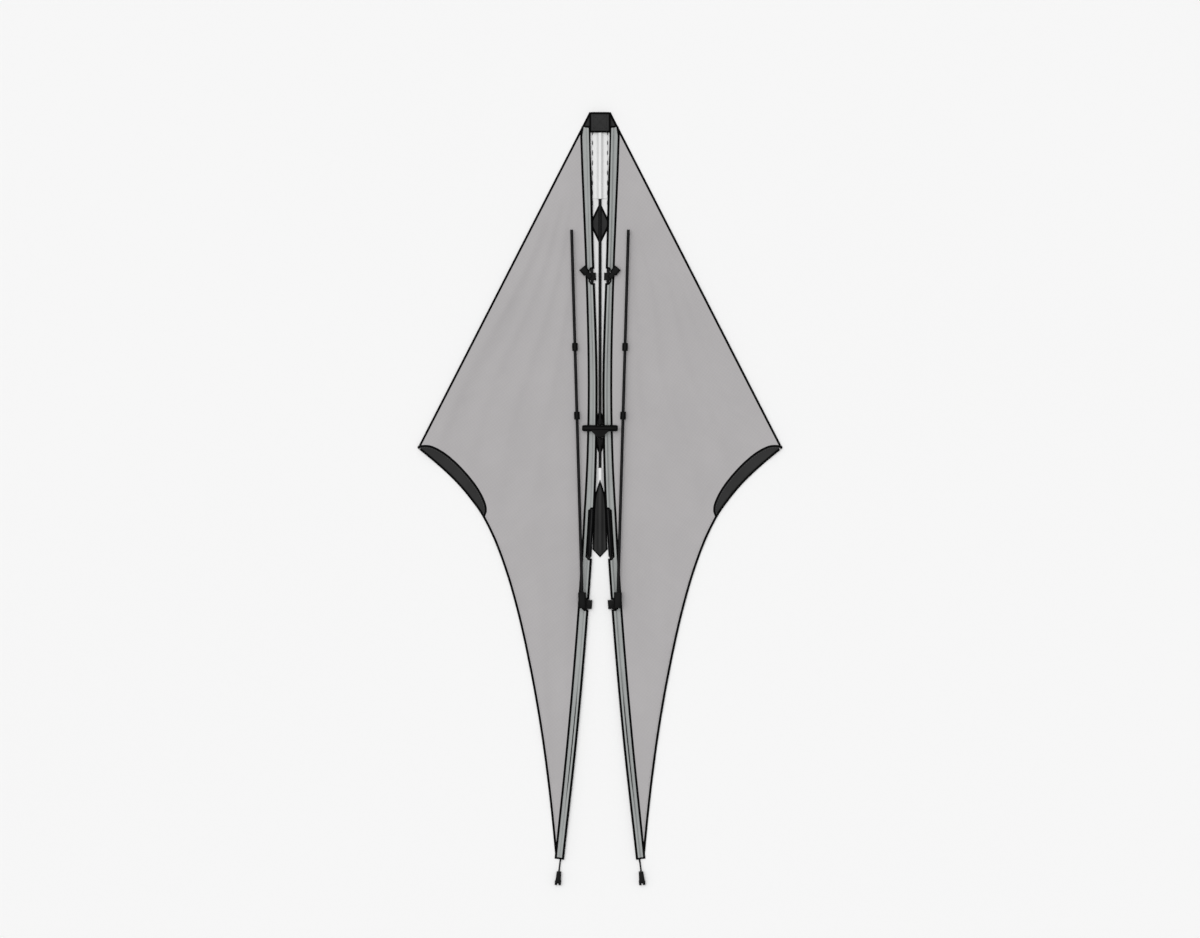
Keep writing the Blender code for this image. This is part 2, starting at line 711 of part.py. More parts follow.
def sleeve_ring(down):
    """Section of the leading edge sleeve: a round fold over the tube and a flat hem out to the seam."""
    seam = seam_reach(down)
    fold = [(CUT_OUT_REACH, FLANGE_TOP), (CUT_OUT_REACH - SLEEVE_FOOT, FLANGE_TOP + SLEEVE_FOOT)]
    for i in range(SLEEVE_ARC_STEPS + 1):
        turn = SLEEVE_ARC_START + (SLEEVE_ARC_END - SLEEVE_ARC_START) * i / SLEEVE_ARC_STEPS
        rise = SLEEVE_RADIUS * math.sin(turn)
        fold.append((SLEEVE_RADIUS * math.cos(turn), EDGE_TUBE_HEIGHT + rise))
    ring = [(seam, FLANGE_BOTTOM), (seam, FLANGE_TOP)] + fold + [(-SLEEVE_BASE_REACH, FLANGE_BOTTOM)]
    frame = edge_frame(down)
    return [frame @ Vector((out, 0.0, height)) for out, height in ring]


def cut_out(down, length):
    """Cutter for the notch in the sleeve's folded edge, where the tube shows."""
    frame = edge_frame(down)
    return block(
        "sleeve_cut_out",
        (-CUT_OUT_REACH, -length / 2, -BIG),
        (CUT_OUT_REACH, length / 2, BIG),
        frame,
        round_edges=CUT_OUT_CORNER,
        along=2,
    )


def leading_edge_sleeve():
    last = FOLDED_LENGTH - SLEEVE_NOSE_DOWN
    rings = [sleeve_ring(SLEEVE_NOSE_DOWN + last * i / SLEEVE_STEPS) for i in range(SLEEVE_STEPS + 1)]
    sleeve = loft("leading_edge_sleeve_right", rings)
    route = edge_points(TUBE_NOSE_DOWN - GAP, FOLDED_LENGTH + HIDDEN_OVERRUN)
    sleeve = cut(sleeve, round_bar("sleeve_bore", route, BORE_RADIUS, 4))
    for down, length in (
        (UPPER_CONNECTOR_DOWN, UPPER_CUT_OUT_LENGTH),
        (TUBE_JOINT_DOWN, FERRULE_LENGTH + 2 * FERRULE_CLEARANCE),
        (LOWER_CONNECTOR_DOWN, LOWER_CUT_OUT_LENGTH),
    ):
        sleeve = cut(sleeve, cut_out(down, length))
    return sleeve


def trailing_edge():
    """Trailing edge of the outer sail, from the fold to the tip."""
    tip = (edge_axis(FOLDED_LENGTH) + seam_reach(FOLDED_LENGTH), FOLDED_LENGTH)
    upper = sail_curve(CREASE_END, KNEE, UPPER_TRAILING_SHARES, 12)
    lower = sail_curve(KNEE, tip, LOWER_TRAILING_SHARES, 24)
    return upper, lower


def outer_sail():
    """Right part of the sail between the fold and the leading edge, folded back over the inner part."""
    first = SLEEVE_NOSE_DOWN + OUTER_SAIL_SET_BACK
    upper, lower = trailing_edge()
    outline = [(along_crease(first), first)] + upper + lower[1:]
    steps = 30
    for i in range(steps + 1):
        down = FOLDED_LENGTH - (FOLDED_LENGTH - first) * i / steps
        outline.append((edge_axis(down) + seam_reach(down) - SEAM_LAP, down))
    return flat_piece("outer_sail_right", outline, PATCH_BOTTOM, CLOTH)


def edge_patch():
    """Crescent of reinforcement along the trailing edge, at the fold."""
    upper, _ = trailing_edge()
    tip = (CREASE_END_ACROSS - CRESCENT_TIP_ACROSS, CREASE_END_DOWN - CRESCENT_TIP_DOWN)
    arc = sail_curve(KNEE, tip, CRESCENT_SHARES, 14)
    return flat_piece("edge_patch_right", upper[1:] + arc[1:], FLANGE_BOTTOM, TAPE_CLOTH)


def clamp(name, down, length, inner):
    """Block that grips the leading edge tube, with its bore still to be cut."""
    frame = edge_frame(down, EDGE_TUBE_HEIGHT)
    return block(
        name,
        (-inner, -length / 2, -CLAMP_HALF_HEIGHT),
        (CLAMP_OUTER, length / 2, CLAMP_HALF_HEIGHT),
        frame,
        round_edges=CLAMP_ROUNDING,
        along=1,
    )


def tube_bore(down, length):
    """Cutter for the room that a clamp leaves round the leading edge tube."""
    frame = edge_frame(down, EDGE_TUBE_HEIGHT)
    tail, nose = frame @ Vector((0, -length, 0)), frame @ Vector((0, length, 0))
    return cylinder("tube_bore", tail, nose, BORE_RADIUS)


def upper_connector():
    """Clamp on the tube with a socket for the upper spreader, turned out over the folded sail."""
    body = clamp("upper_connector_right", UPPER_CONNECTOR_DOWN, UPPER_CLAMP_LENGTH, UPPER_CLAMP_INNER)
    mouth = on_page(
        edge_axis(UPPER_CONNECTOR_DOWN) + UPPER_SOCKET_REACH,
        UPPER_CONNECTOR_DOWN - UPPER_SOCKET_RISE,
        UPPER_SOCKET_HEIGHT,
    )
    frame = Matrix.Translation(mouth) @ Matrix.Rotation(UPPER_SOCKET_ANGLE, 4, "Z")
    socket = block(
        "upper_socket",
        (-UPPER_SOCKET_LENGTH, -SOCKET_WIDTH / 2, -SOCKET_HEIGHT / 2),
        (0, SOCKET_WIDTH / 2, SOCKET_HEIGHT / 2),
        frame,
        round_edges=SOCKET_ROUNDING,
        along=0,
    )
    neck = block(
        "upper_neck",
        (-UPPER_SOCKET_LENGTH - UPPER_NECK_LENGTH, -UPPER_NECK_HALF_WIDTH, UPPER_NECK_SET_IN),
        (-UPPER_SOCKET_LENGTH / 2, UPPER_NECK_HALF_WIDTH, SOCKET_HEIGHT / 2 - UPPER_NECK_SET_IN),
        frame,
        round_edges=UPPER_NECK_ROUNDING,
    )
    body = cut(join(join(body, socket), neck), tube_bore(UPPER_CONNECTOR_DOWN, UPPER_CLAMP_LENGTH))
    bottom, outside = frame @ Vector((-UPPER_SOCKET_DEPTH, 0, 0)), frame @ Vector((BIG, 0, 0))
    return cut(body, cylinder("upper_socket_bore", bottom, outside, BORE_RADIUS))


def lower_pivot():
    """Place of the lower connector's pivot, on the floor plane."""
    return edge_frame(LOWER_CONNECTOR_DOWN) @ Vector((PIVOT_REACH, 0, 0))


def lower_clamp():
    """Clamp on the tube with a plate and a pin that carry the spreader's socket."""
    body = clamp("lower_clamp_right", LOWER_CONNECTOR_DOWN, LOWER_CLAMP_LENGTH, LOWER_CLAMP_INNER)
    frame = edge_frame(LOWER_CONNECTOR_DOWN)
    plate = block(
        "pivot_plate",
        (0.0, -PIVOT_PLATE_RADIUS, CLAMP_TOP - PIVOT_PLATE),
        (PIVOT_REACH, PIVOT_PLATE_RADIUS, CLAMP_TOP),
        frame,
    )
    pivot = lower_pivot()
    disc = cylinder(
        "pivot_disc",
        pivot + Vector((0, 0, CLAMP_TOP - PIVOT_PLATE)),
        pivot + Vector((0, 0, CLAMP_TOP)),
        PIVOT_PLATE_RADIUS,
    )
    pin = cylinder(
        "pivot_pin",
        pivot + Vector((0, 0, CLAMP_TOP - PIVOT_PLATE / 2)),
        pivot + Vector((0, 0, CLAMP_TOP + PIVOT_PIN_HEIGHT)),
        PIVOT_PIN_RADIUS,
    )
    body = join(join(join(body, plate), disc), pin)
    return cut(body, tube_bore(LOWER_CONNECTOR_DOWN, LOWER_CLAMP_LENGTH))


def spreader_frame():
    """Frame of the right spreader: +Y along the rod from the pivot, at the rod's height."""
    place = Matrix.Translation(lower_pivot() + Vector((0, 0, SPREADER_HEIGHT)))
    return place @ Matrix.Rotation(-SPREADER_TILT, 4, "Z")


def spreader_socket():
    """Socket that holds the lower spreader and turns on the clamp's pin."""
    frame = spreader_frame()
    socket = block(
        "spreader_socket_right",
        (-LOWER_SOCKET_WIDTH / 2, -LOWER_SOCKET_BACK, -LOWER_SOCKET_TALL / 2),
        (LOWER_SOCKET_WIDTH / 2, LOWER_SOCKET_FRONT, LOWER_SOCKET_TALL / 2),
        frame,
        round_edges=SOCKET_ROUNDING,
        along=1,
    )
    rod_end, outside = frame @ Vector((0, SPREADER_START - GAP, 0)), frame @ Vector((0, BIG, 0))
    rod_bore = cylinder("spreader_bore", rod_end, outside, BORE_RADIUS)
    pin_top = CLAMP_TOP + PIVOT_PIN_HEIGHT + GAP - SPREADER_HEIGHT
    below, above = frame @ Vector((0, 0, -BIG)), frame @ Vector((0, 0, pin_top))
    pin_bore = cylinder("pin_bore", below, above, PIVOT_PIN_RADIUS + GAP)
    return cut(cut(socket, rod_bore), pin_bore)


def lower_spreader():
    frame = spreader_frame()
    distances = (SPREADER_START, SPREADER_START + SPREADER_LENGTH)
    ends = [frame @ Vector((0, distance, 0)) for distance in distances]
    return round_bar("lower_spreader_right", ends, TUBE_RADIUS, 4)


def collar(name, distance):
    """Short collar on the spreader, which takes a stand-off rod."""
    place = spreader_frame() @ Matrix.Translation((0, distance, 0)) @ Matrix.Rotation(math.pi / 2, 4, "X")
    half = COLLAR_LENGTH / 2
    profile = [
        (BORE_RADIUS, half),
        (COLLAR_RADIUS - COLLAR_ROUNDING, half),
        (COLLAR_RADIUS, half - COLLAR_ROUNDING),
        (COLLAR_RADIUS, COLLAR_ROUNDING - half),
        (COLLAR_RADIUS - COLLAR_ROUNDING, -half),
        (BORE_RADIUS, -half),
        (BORE_RADIUS, half),
    ]
    return turned(name, profile, place)


# Route of the right tip's bungee: distance across, distance down and height of its middle
CORD_ROUTE = (
    (0.0761, 1.4800, 0.0050),
    (0.0778, 1.4950, 0.0050),
    (0.0796, 1.5060, 0.0047),
    (0.0808, 1.5150, 0.0045),
    (0.0816, 1.5230, 0.0045),
)
CORD_POINTS = 12
NOCK_DOWN = 1.5184
NOCK_ACROSS = 0.0812


def tip_cord():
    """Bungee that runs out of the sleeve's open end to the nock."""
    route = [on_page(across, down, height) for across, down, height in CORD_ROUTE]
    lengths = [0.0]
    for first, second in zip(route, route[1:]):
        lengths.append(lengths[-1] + (second - first).length)
    points = []
    for place in np.linspace(0.0, lengths[-1], CORD_POINTS + 1):
        points.append([float(np.interp(place, lengths, [p[axis] for p in route])) for axis in range(3)])
    return round_bar("tip_cord_right", points, CORD_RADIUS, 2)


def nock_frame():
    place = Matrix.Translation(on_page(NOCK_ACROSS, NOCK_DOWN, NOCK_HEIGHT / 2))
    return place @ Matrix.Rotation(NOCK_TURN, 4, "Z")


def tip_nock():
    """Arrow nock: a short plug with a forked end."""
    slot_start = NOCK_LENGTH - NOCK_SLOT_DEPTH
    fork_start = slot_start - NOCK_FORK_ABOVE_SLOT
    half_outline = [
        (NOCK_HALF_WIDTH, 0.0),
        (NOCK_HALF_WIDTH, fork_start),
        (NOCK_FORK_HALF_WIDTH, fork_start + NOCK_FORK_FLARE),
        (NOCK_FORK_HALF_WIDTH, NOCK_LENGTH),
        (NOCK_SLOT_HALF_WIDTH, NOCK_LENGTH),
        (NOCK_SLOT_HALF_WIDTH, slot_start),
    ]
    outline = half_outline + [(-across, down) for across, down in reversed(half_outline)]
    plug = flat_piece("tip_nock_right", outline, 0.0, NOCK_HEIGHT)
    frame = nock_frame()
    plug.data.transform(Matrix.Translation((0, -NOSE_Y, -NOCK_HEIGHT / 2)))
    plug.data.transform(frame)
    outside, bottom = frame @ Vector((0, BIG, 0)), frame @ Vector((0, -NOCK_HOLE_DEPTH, 0))
    return cut(plug, cylinder("nock_hole", outside, bottom, CORD_RADIUS + GAP))


for old in list(bpy.data.objects):
    bpy.data.objects.remove(old)
for old in list(bpy.data.collections):
    bpy.data.collections.remove(old)
PARTS = new_collection("folded_sport_kite")
CUTTERS = new_collection("cutters")

SAIL = new_material("sail cloth", (0.43, 0.42, 0.42), 0.55)
SLEEVE = new_material("sleeve cloth", (0.36, 0.37, 0.37), 0.65)
STRIP = new_material("light strip", (0.76, 0.76, 0.76), 0.60)
PATCH = new_material("dark reinforcement", (0.033, 0.033, 0.033), 0.80)
CARBON = new_material("carbon tube", (0.012, 0.012, 0.012), 0.35)
FITTING = new_material("black fitting", (0.008, 0.008, 0.008), 0.50)
BUNGEE = new_material("bungee", (0.015, 0.015, 0.015), 0.75)

# Middle of the kite
KITE = empty("kite", (0, 0, 0))
for piece, material, rounded in (
    (centre_strip(), STRIP, False),
    (nose_webbing(), PATCH, False),
    (nose_pocket(), STRIP, True),
    (tail_pocket(), STRIP, True),
    (tail_patch(), PATCH, True),
    (spine_rod(), CARBON, True),
    (upper_patch(), PATCH, False),
    (centre_patch(), PATCH, False),
    (centre_t(), FITTING, True),
):
    finish(piece, material, KITE, rounded)

# An empty for each moving body, at its hinge
WING_PLACE = on_page(edge_axis(SLEEVE_NOSE_DOWN), SLEEVE_NOSE_DOWN)
SPREADER_PLACE = lower_pivot()
FLIP = Matrix.Scale(-1, 3, (1, 0, 0))
WING_RIGHT = empty("wing_right_hinge", WING_PLACE, KITE)
WING_LEFT = empty("wing_left_hinge", FLIP @ WING_PLACE, KITE)
SPREADER_RIGHT = empty("spreader_right_hinge", SPREADER_PLACE, WING_RIGHT)
SPREADER_LEFT = empty("spreader_left_hinge", FLIP @ SPREADER_PLACE, WING_LEFT)
MIDDLE = (KITE, KITE)
WINGS = (WING_RIGHT, WING_LEFT)
SPREADERS = (SPREADER_RIGHT, SPREADER_LEFT)

# Pieces with a right and a left copy
for piece, material, rounded, (right_carrier, left_carrier) in (
    (inner_sail(), SAIL, False, MIDDLE),
    (nose_corner(), PATCH, False, MIDDLE),
    (upper_tube(), CARBON, True, WINGS),
    (lower_tube(), CARBON, True, WINGS),
    (ferrule(), CARBON, True, WINGS),
    (leading_edge_sleeve(), SLEEVE, True, WINGS),
    (outer_sail(), SAIL, False, WINGS),
    (edge_patch(), PATCH, False, WINGS),
    (upper_connector(), FITTING, True, WINGS),
    (lower_clamp(), FITTING, True, WINGS),
    (tip_cord(), BUNGEE, True, WINGS),
    (tip_nock(), FITTING, True, WINGS),
    (spreader_socket(), FITTING, True, SPREADERS),
    (lower_spreader(), CARBON, True, SPREADERS),
    *((collar(f"{place}_collar_right", down), FITTING, True, SPREADERS) for place, down in COLLAR_PLACES),
):
    right = finish(piece, material, right_carrier, rounded)
    mirrored(right, right.name.replace("_right", "_left"), left_carrier)
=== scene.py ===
"""Looks of a two-line sport kite, folded flat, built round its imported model.

Units are metres. +Z is up and the nose points to +Y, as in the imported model. Wing pieces are worked out
on the right side and turned over for the left. A distance across is measured from the centre line, and a
distance down from the nose.
"""

import json
import math

import bmesh
import bpy
import numpy as np
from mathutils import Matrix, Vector, kdtree, noise
from mathutils.geometry import delaunay_2d_cdt

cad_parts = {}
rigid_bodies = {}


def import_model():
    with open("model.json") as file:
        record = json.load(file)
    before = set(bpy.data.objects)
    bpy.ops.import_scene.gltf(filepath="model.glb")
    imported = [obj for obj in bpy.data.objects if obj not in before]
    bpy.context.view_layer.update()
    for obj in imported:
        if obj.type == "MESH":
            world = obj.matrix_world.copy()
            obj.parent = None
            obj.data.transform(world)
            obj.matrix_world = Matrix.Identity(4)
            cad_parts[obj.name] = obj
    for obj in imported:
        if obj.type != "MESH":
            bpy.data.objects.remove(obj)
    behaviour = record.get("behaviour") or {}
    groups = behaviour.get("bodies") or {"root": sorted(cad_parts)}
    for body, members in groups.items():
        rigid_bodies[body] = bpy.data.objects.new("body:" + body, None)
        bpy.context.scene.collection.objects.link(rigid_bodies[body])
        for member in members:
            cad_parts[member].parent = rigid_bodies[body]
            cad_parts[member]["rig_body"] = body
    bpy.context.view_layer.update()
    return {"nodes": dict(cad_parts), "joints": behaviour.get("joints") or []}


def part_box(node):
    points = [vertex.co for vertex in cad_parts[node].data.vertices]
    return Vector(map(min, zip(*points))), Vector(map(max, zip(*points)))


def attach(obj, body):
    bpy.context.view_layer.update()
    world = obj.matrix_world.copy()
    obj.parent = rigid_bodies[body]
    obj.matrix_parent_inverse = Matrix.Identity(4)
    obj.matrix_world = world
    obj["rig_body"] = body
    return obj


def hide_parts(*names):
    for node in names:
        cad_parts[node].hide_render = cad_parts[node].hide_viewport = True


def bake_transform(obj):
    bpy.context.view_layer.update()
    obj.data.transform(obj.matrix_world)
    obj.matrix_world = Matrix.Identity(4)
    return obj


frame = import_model()


def levels(node):
    """Heights of a node's underside and top."""
    return [corner.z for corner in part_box(node)]


SIDES = {"right": 1, "left": -1}
HINGES = {joint["child"]: joint["pos_m"] for joint in frame["joints"]}

# Photograph: its width, its scale and the place under its middle
PHOTO_WIDE = 1200
METRES_PER_PIXEL = 0.002
VIEW_MIDDLE = (0.0, 0.0325)
LENS = 200.0
SENSOR = 36.0

# Cloth and thread
SAIL_THICK = 0.00030
TAPE_THICK = 0.00020
PATCH_THICK = 0.00035
SLEEVE_THICK = 0.00022
POCKET_THICK = 0.0004
DOUBLED_PATCH_THICK = 0.0005
BINDING_WIDTH = 0.0042
THREAD_RADIUS = 0.00028
STITCH_PITCH = 0.0052
STITCH_LENGTH = 0.0034
SLEEVE_AREA = 0.0617

# Mesh steps, and the distance under which points are one
CLOTH_STEP = 0.0065
PATCH_STEP = 0.004
WELD = 0.00001

# Levels of the folded layers
INNER_LEVEL = 0.00030
OUTER_LEVEL = sum(levels("outer_sail_right")) / 2
STRIP_LEVEL = sum(levels("centre_strip")) / 2
PATCH_LOW, PATCH_HIGH = levels("upper_patch")
FLANGE_LOW = levels("leading_edge_sleeve_right")[0]
FLANGE_HIGH = FLANGE_LOW + 0.0005
SPINE_LOW, SPINE_HIGH = levels("spine_rod")
ROD_RADIUS = (SPINE_HIGH - SPINE_LOW) / 2
NOSE_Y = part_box("nose_webbing")[1].y


def smoothstep(values):
    share = np.clip(values, 0.0, 1.0)
    return share * share * (3.0 - 2.0 * share)


def grows(distance, start, length):
    """0 up to a start, and 1 from a length after it."""
    return smoothstep((distance - start) / length)


def sway(angle):
    """A wave from 0 to 1."""
    return 0.5 + 0.5 * np.sin(angle)


def rough(places, wavelength, seed):
    """Smooth noise from -1 to 1 at flat places, with features about a wavelength across."""
    return np.array([noise.noise(Vector((x / wavelength, y / wavelength, seed))) for x, y in places])


def read_off(table, places):
    """Values read off a table of (place, value)."""
    return np.interp(places, *np.array(table).T)


# Materials


def feed(tree, socket, value):
    """Links a varying value to a socket, or sets a constant on it."""
    if isinstance(value, Value):
        value = value.socket
    if isinstance(value, bpy.types.NodeSocket):
        tree.links.new(value, socket)
    else:
        socket.default_value = value


def add_node(tree, kind, settings=None, sockets=None):
    """A node, its settings first and then the values or links of its sockets."""
    made = tree.nodes.new(kind)
    for name, value in (settings or {}).items():
        setattr(made, name, value)
    for key, value in (sockets or {}).items():
        feed(tree, made.inputs[key], value)
    return made


class Value:
    """A number that varies over a surface, with arithmetic that adds Math nodes."""

    def __init__(self, finish, socket):
        self.finish = finish
        self.socket = socket

    def math(self, operation, *others):
        sockets = dict(enumerate((self, *others)))
        made = self.finish.node("ShaderNodeMath", {"operation": operation}, sockets)
        return Value(self.finish, made.outputs[0])

    def __add__(self, other):
        return self.math("ADD", other)

    def __sub__(self, other):
        return self.math("SUBTRACT", other)

    def __mul__(self, other):
        return self.math("MULTIPLY", other)

    def __rsub__(self, other):
        return self * -1.0 + other

    def __abs__(self):
        return self.math("ABSOLUTE")

    __radd__ = __add__
    __rmul__ = __mul__

    def wave(self, pitch):
        """1 at every whole pitch and -1 halfway between."""
        return (self * (2 * math.pi / pitch)).math("COSINE")

    def between(self, low, high):
        """0 at low and 1 at high, with a soft change."""
        sockets = {"Value": self, "From Min": low, "From Max": high}
        made = self.finish.node("ShaderNodeMapRange", {"interpolation_type": "SMOOTHSTEP"}, sockets)
        return Value(self.finish, made.outputs["Result"])


class Finish:
    """A material made of nodes. Its constants are set on the shader's sockets."""

    def __init__(self, name, slot, **constants):
        self.slot = slot
        self.material = bpy.data.materials.new(name)
        self.material.use_nodes = True
        self.tree = self.material.node_tree
        self.shader = self.tree.nodes["Principled BSDF"]
        for socket, value in constants.items():
            self.shader.inputs[socket.replace("_", " ").title().replace("Ior", "IOR")].default_value = value

    def node(self, kind, settings=None, sockets=None):
        return add_node(self.tree, kind, settings, sockets)

    def place(self):
        """Where a point is, in the kite's own frame."""
        return self.node("ShaderNodeTexCoord").outputs["Object"]

    def cloth(self):
        """Where a point is on the flat cloth, in metres."""
        return self.node("ShaderNodeUVMap", {"uv_map": "cloth"}).outputs["UV"]

    def parts(self, vector):
        return [Value(self, part) for part in self.node("ShaderNodeSeparateXYZ", None, {0: vector}).outputs]

    def noise(self, vector, wavelength, detail=2.0, stretched=None):
        """Noise with features about a wavelength across, on a vector that may be stretched first."""
        if stretched:
            vector = self.node("ShaderNodeMapping", None, {"Vector": vector, "Scale": stretched}).outputs[0]
        sockets = {"Vector": vector, "Scale": 1.0 / wavelength, "Detail": detail}
        return Value(self, self.node("ShaderNodeTexNoise", {"noise_dimensions": "3D"}, sockets).outputs[0])

    def blend(self, share, first, second):
        """A colour that goes from the first to the second."""
        sockets = {0: share}
        for index, colour in ((6, first), (7, second)):
            sockets[index] = (*colour, 1.0) if isinstance(colour, tuple) else colour
        return self.node("ShaderNodeMix", {"data_type": "RGBA", "clamp_factor": True}, sockets).outputs[2]

    def tones(self, share, colour, darker, lighter):
        """A colour that goes from a darker tone of itself to a lighter one."""
        return self.blend(share, tuple(c * darker for c in colour), tuple(c * lighter for c in colour))

    def bump(self, height, depth, below=None):
        """Relief of a height from 0 to 1, which is that depth in metres, on top of another relief."""
        sockets = {"Height": height, "Distance": depth, "Strength": 1.0}
        if below is not None:
            sockets["Normal"] = below
        return self.node("ShaderNodeBump", None, sockets).outputs[0]

    def show(self, colour, roughness, normal=None):
        for socket, value in (("Base Color", colour), ("Roughness", roughness), ("Normal", normal)):
            if value is not None:
                feed(self.tree, self.shader.inputs[socket], value)
        return self


def grey(tone):
    return tone, tone, tone


def woven(name, slot, colour, yarn, depth, roughness, uneven=0.06, sheen=0.1, gloss=0.25):
    """Plain woven cloth: yarns that pass over and under each other, with uneven dye and soft wrinkles."""
    finish = Finish(name, slot, sheen_weight=sheen, sheen_roughness=0.5, specular_ior_level=gloss)
    place = finish.place()
    warp, weft = (part.wave(2 * yarn) for part in finish.parts(place)[:2])
    relief = warp * weft * (abs(warp) - abs(weft)) * 0.5 + 0.5
    dye = finish.noise(place, wavelength=0.06, detail=3.0)
    fibre = finish.noise(place, wavelength=0.004, stretched=(1.0, 6.0, 1.0))
    wrinkles = finish.noise(place, wavelength=0.012, detail=3.0)
    tone = (dye * 0.6 + fibre * 0.25 + relief * 0.15).between(0.3, 0.7)
    return finish.show(
        finish.tones(tone, colour, 1.0 - uneven, 1.0 + uneven),
        dye * 0.12 + fibre * 0.06 + (roughness - 0.09),
        finish.bump(relief, depth, finish.bump(wrinkles, depth * 2.0)),
    )


def ripstop(name, slot, colour, yarn=0.0011, grid=0.0055):
    """Sailcloth: a fine weave with a grid of thicker yarns, on the flat cloth's own coordinates."""
    finish = Finish(name, slot, sheen_weight=0.1, sheen_roughness=0.35, specular_ior_level=0.3)
    place = finish.cloth()
    u, v, _ = finish.parts(place)
    along, across = (abs(part.wave(2 * grid)).between(0.955, 1.0) for part in (u, v))
    lines = along.math("MAXIMUM", across)
    weave = u.wave(yarn) * v.wave(yarn) * 0.5 + 0.5
    dye = finish.noise(place, wavelength=0.11, detail=3.0)
    worn = finish.noise(place, wavelength=0.02, detail=4.0, stretched=(1.0, 0.35, 1.0))
    crinkle = finish.noise(place, wavelength=0.018, detail=4.0)
    return finish.show(
        finish.tones((dye * 0.55 + worn * 0.30 + lines * 0.22).between(0.28, 0.78), colour, 0.94, 1.06),
        worn * 0.16 + dye * 0.08 + 0.38,
        finish.bump(weave * 0.35 + lines * 0.65, 0.00009, finish.bump(crinkle, 0.00035)),
    )


def carbon_tube(name, slot, colour):
    """Wrapped carbon tube: tight slanting bands under a satin resin coat."""
    finish = Finish(name, slot, coat_weight=0.02, coat_roughness=0.2, specular_ior_level=0.08)
    place = finish.place()
    x, y, z = finish.parts(place)
    band = (y + (x + z) * 0.6).wave(0.0045)
    scratch = finish.noise(place, wavelength=0.0012, detail=3.0, stretched=(1.0, 0.06, 1.0))
    return finish.show(
        finish.tones((band * 0.25 + scratch * 0.9).between(0.2, 0.95), colour, 0.75, 1.6),
        scratch * 0.18 + band * 0.03 + 0.22,
        finish.bump(band * 0.5 + scratch * 0.5, 0.00004),
    )


def moulded(name, slot, colour):
    """Moulded flexible plastic: a fine spark-eroded grain, dull where hands rub it."""
    finish = Finish(name, slot, specular_ior_level=0.07)
    place = finish.place()
    grain = finish.noise(place, wavelength=0.0009, detail=3.0)
    rubbed = finish.noise(place, wavelength=0.014)
    return finish.show(
        finish.tones((grain * 0.4 + rubbed * 0.6).between(0.3, 0.75), colour, 0.8, 1.7),
        rubbed * 0.22 + grain * 0.08 + 0.32,
        finish.bump(grain, 0.00006),
    )


def braid(name, slot, colour, fleck_colour):
    """Braided bungee cover, with a pale fleck on every eighth yarn."""
    finish = Finish(name, slot, sheen_weight=0.05, specular_ior_level=0.15)
    u, v, _ = finish.parts(finish.cloth())
    slant = u.wave(0.25) * v.wave(0.0032)
    fleck = (u + v * 90.0).wave(1.0).between(0.93, 0.99)
    cover = finish.tones(slant.between(-0.4, 0.9), colour, 0.7, 1.8)
    return finish.show(
        finish.blend(fleck * 0.4, cover, fleck_colour), slant * 0.08 + 0.68, finish.bump(slant, 0.00012)
    )


def sewing_thread(name, colour):
    finish = Finish(name, TRIM, sheen_weight=0.05, specular_ior_level=0.2)
    ply = finish.parts(finish.place())[1].wave(0.0009)
    return finish.show(
        finish.tones(ply * 0.5 + 0.5, colour, 0.75, 1.4), ply * 0.06 + 0.6, finish.bump(ply, 0.00005)
    )


def studio_floor(name):
    finish = Finish(name, None)
    tone = finish.noise(finish.place(), wavelength=0.9)
    return finish.show(finish.blend(tone, grey(0.955), grey(0.97)), tone * 0.1 + 0.7)


TRIM = "reinforcement"
SAIL = ripstop("ripstop sailcloth", "sail_cloth", (0.428, 0.414, 0.418))
SLEEVE = woven("sleeve cloth", "sleeve_cloth", (0.365, 0.382, 0.375), 0.00045, 0.00006, 0.62)
STRIP = woven("light centre tape", "light_strip", grey(0.845), 0.0006, 0.00008, 0.66, uneven=0.03)
PATCH = woven("dark patch cloth", TRIM, grey(0.030), 0.0007, 0.00010, 0.72, 0.18, sheen=0.0, gloss=0.12)
WEBBING = woven("nose webbing", TRIM, grey(0.030), 0.0016, 0.00030, 0.75, 0.22, sheen=0.0, gloss=0.12)
BINDING = woven("black binding tape", TRIM, grey(0.0018), 0.0005, 0.00006, 0.7, 0.4, sheen=0.0, gloss=0.04)
CARBON = carbon_tube("carbon tube", "carbon", (0.0025, 0.0025, 0.0028))
FITTING = moulded("black moulding", "fitting", grey(0.0022))
BUNGEE = braid("black bungee", "bungee", grey(0.0030), grey(0.05))
BLACK_THREAD = sewing_thread("black thread", grey(0.006))
GREY_THREAD = sewing_thread("dark grey thread", grey(0.100))
SAIL_THREAD = sewing_thread("grey thread", (0.300, 0.295, 0.297))


# Meshes


def put(name, data):
    """A new object in the scene."""
    made = bpy.data.objects.new(name, data)
    bpy.context.scene.collection.objects.link(made)
    return made


def fixed(made, body, *nodes):
    """Fixes a piece to a body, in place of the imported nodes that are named."""
    if nodes:
        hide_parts(*nodes)
    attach(made, body)
    return made


def piece(name, points, faces, finish, side=None):
    """A mesh object. One for the left side is turned over the centre line."""
    sign = SIDES.get(side, 1)
    name += f"_{side}" if side else ""
    mesh = bpy.data.meshes.new(name)
    faces = [tuple(int(i) for i in face)[::sign] for face in faces]
    mesh.from_pydata((np.array(points, float) * (sign, 1, 1)).tolist(), [], faces)
    mesh.materials.append(finish.material)
    mesh.shade_smooth()
    mesh.update()
    made = put(name, mesh)
    return made


def add_cloth_map(made, places):
    """Gives each corner its place on the flat cloth, in metres."""
    corners = np.zeros(len(made.data.loops), int)
    made.data.loops.foreach_get("vertex_index", corners)
    layer = made.data.uv_layers.new(name="cloth")
    layer.data.foreach_set("uv", np.array(places, np.float32)[corners].ravel())


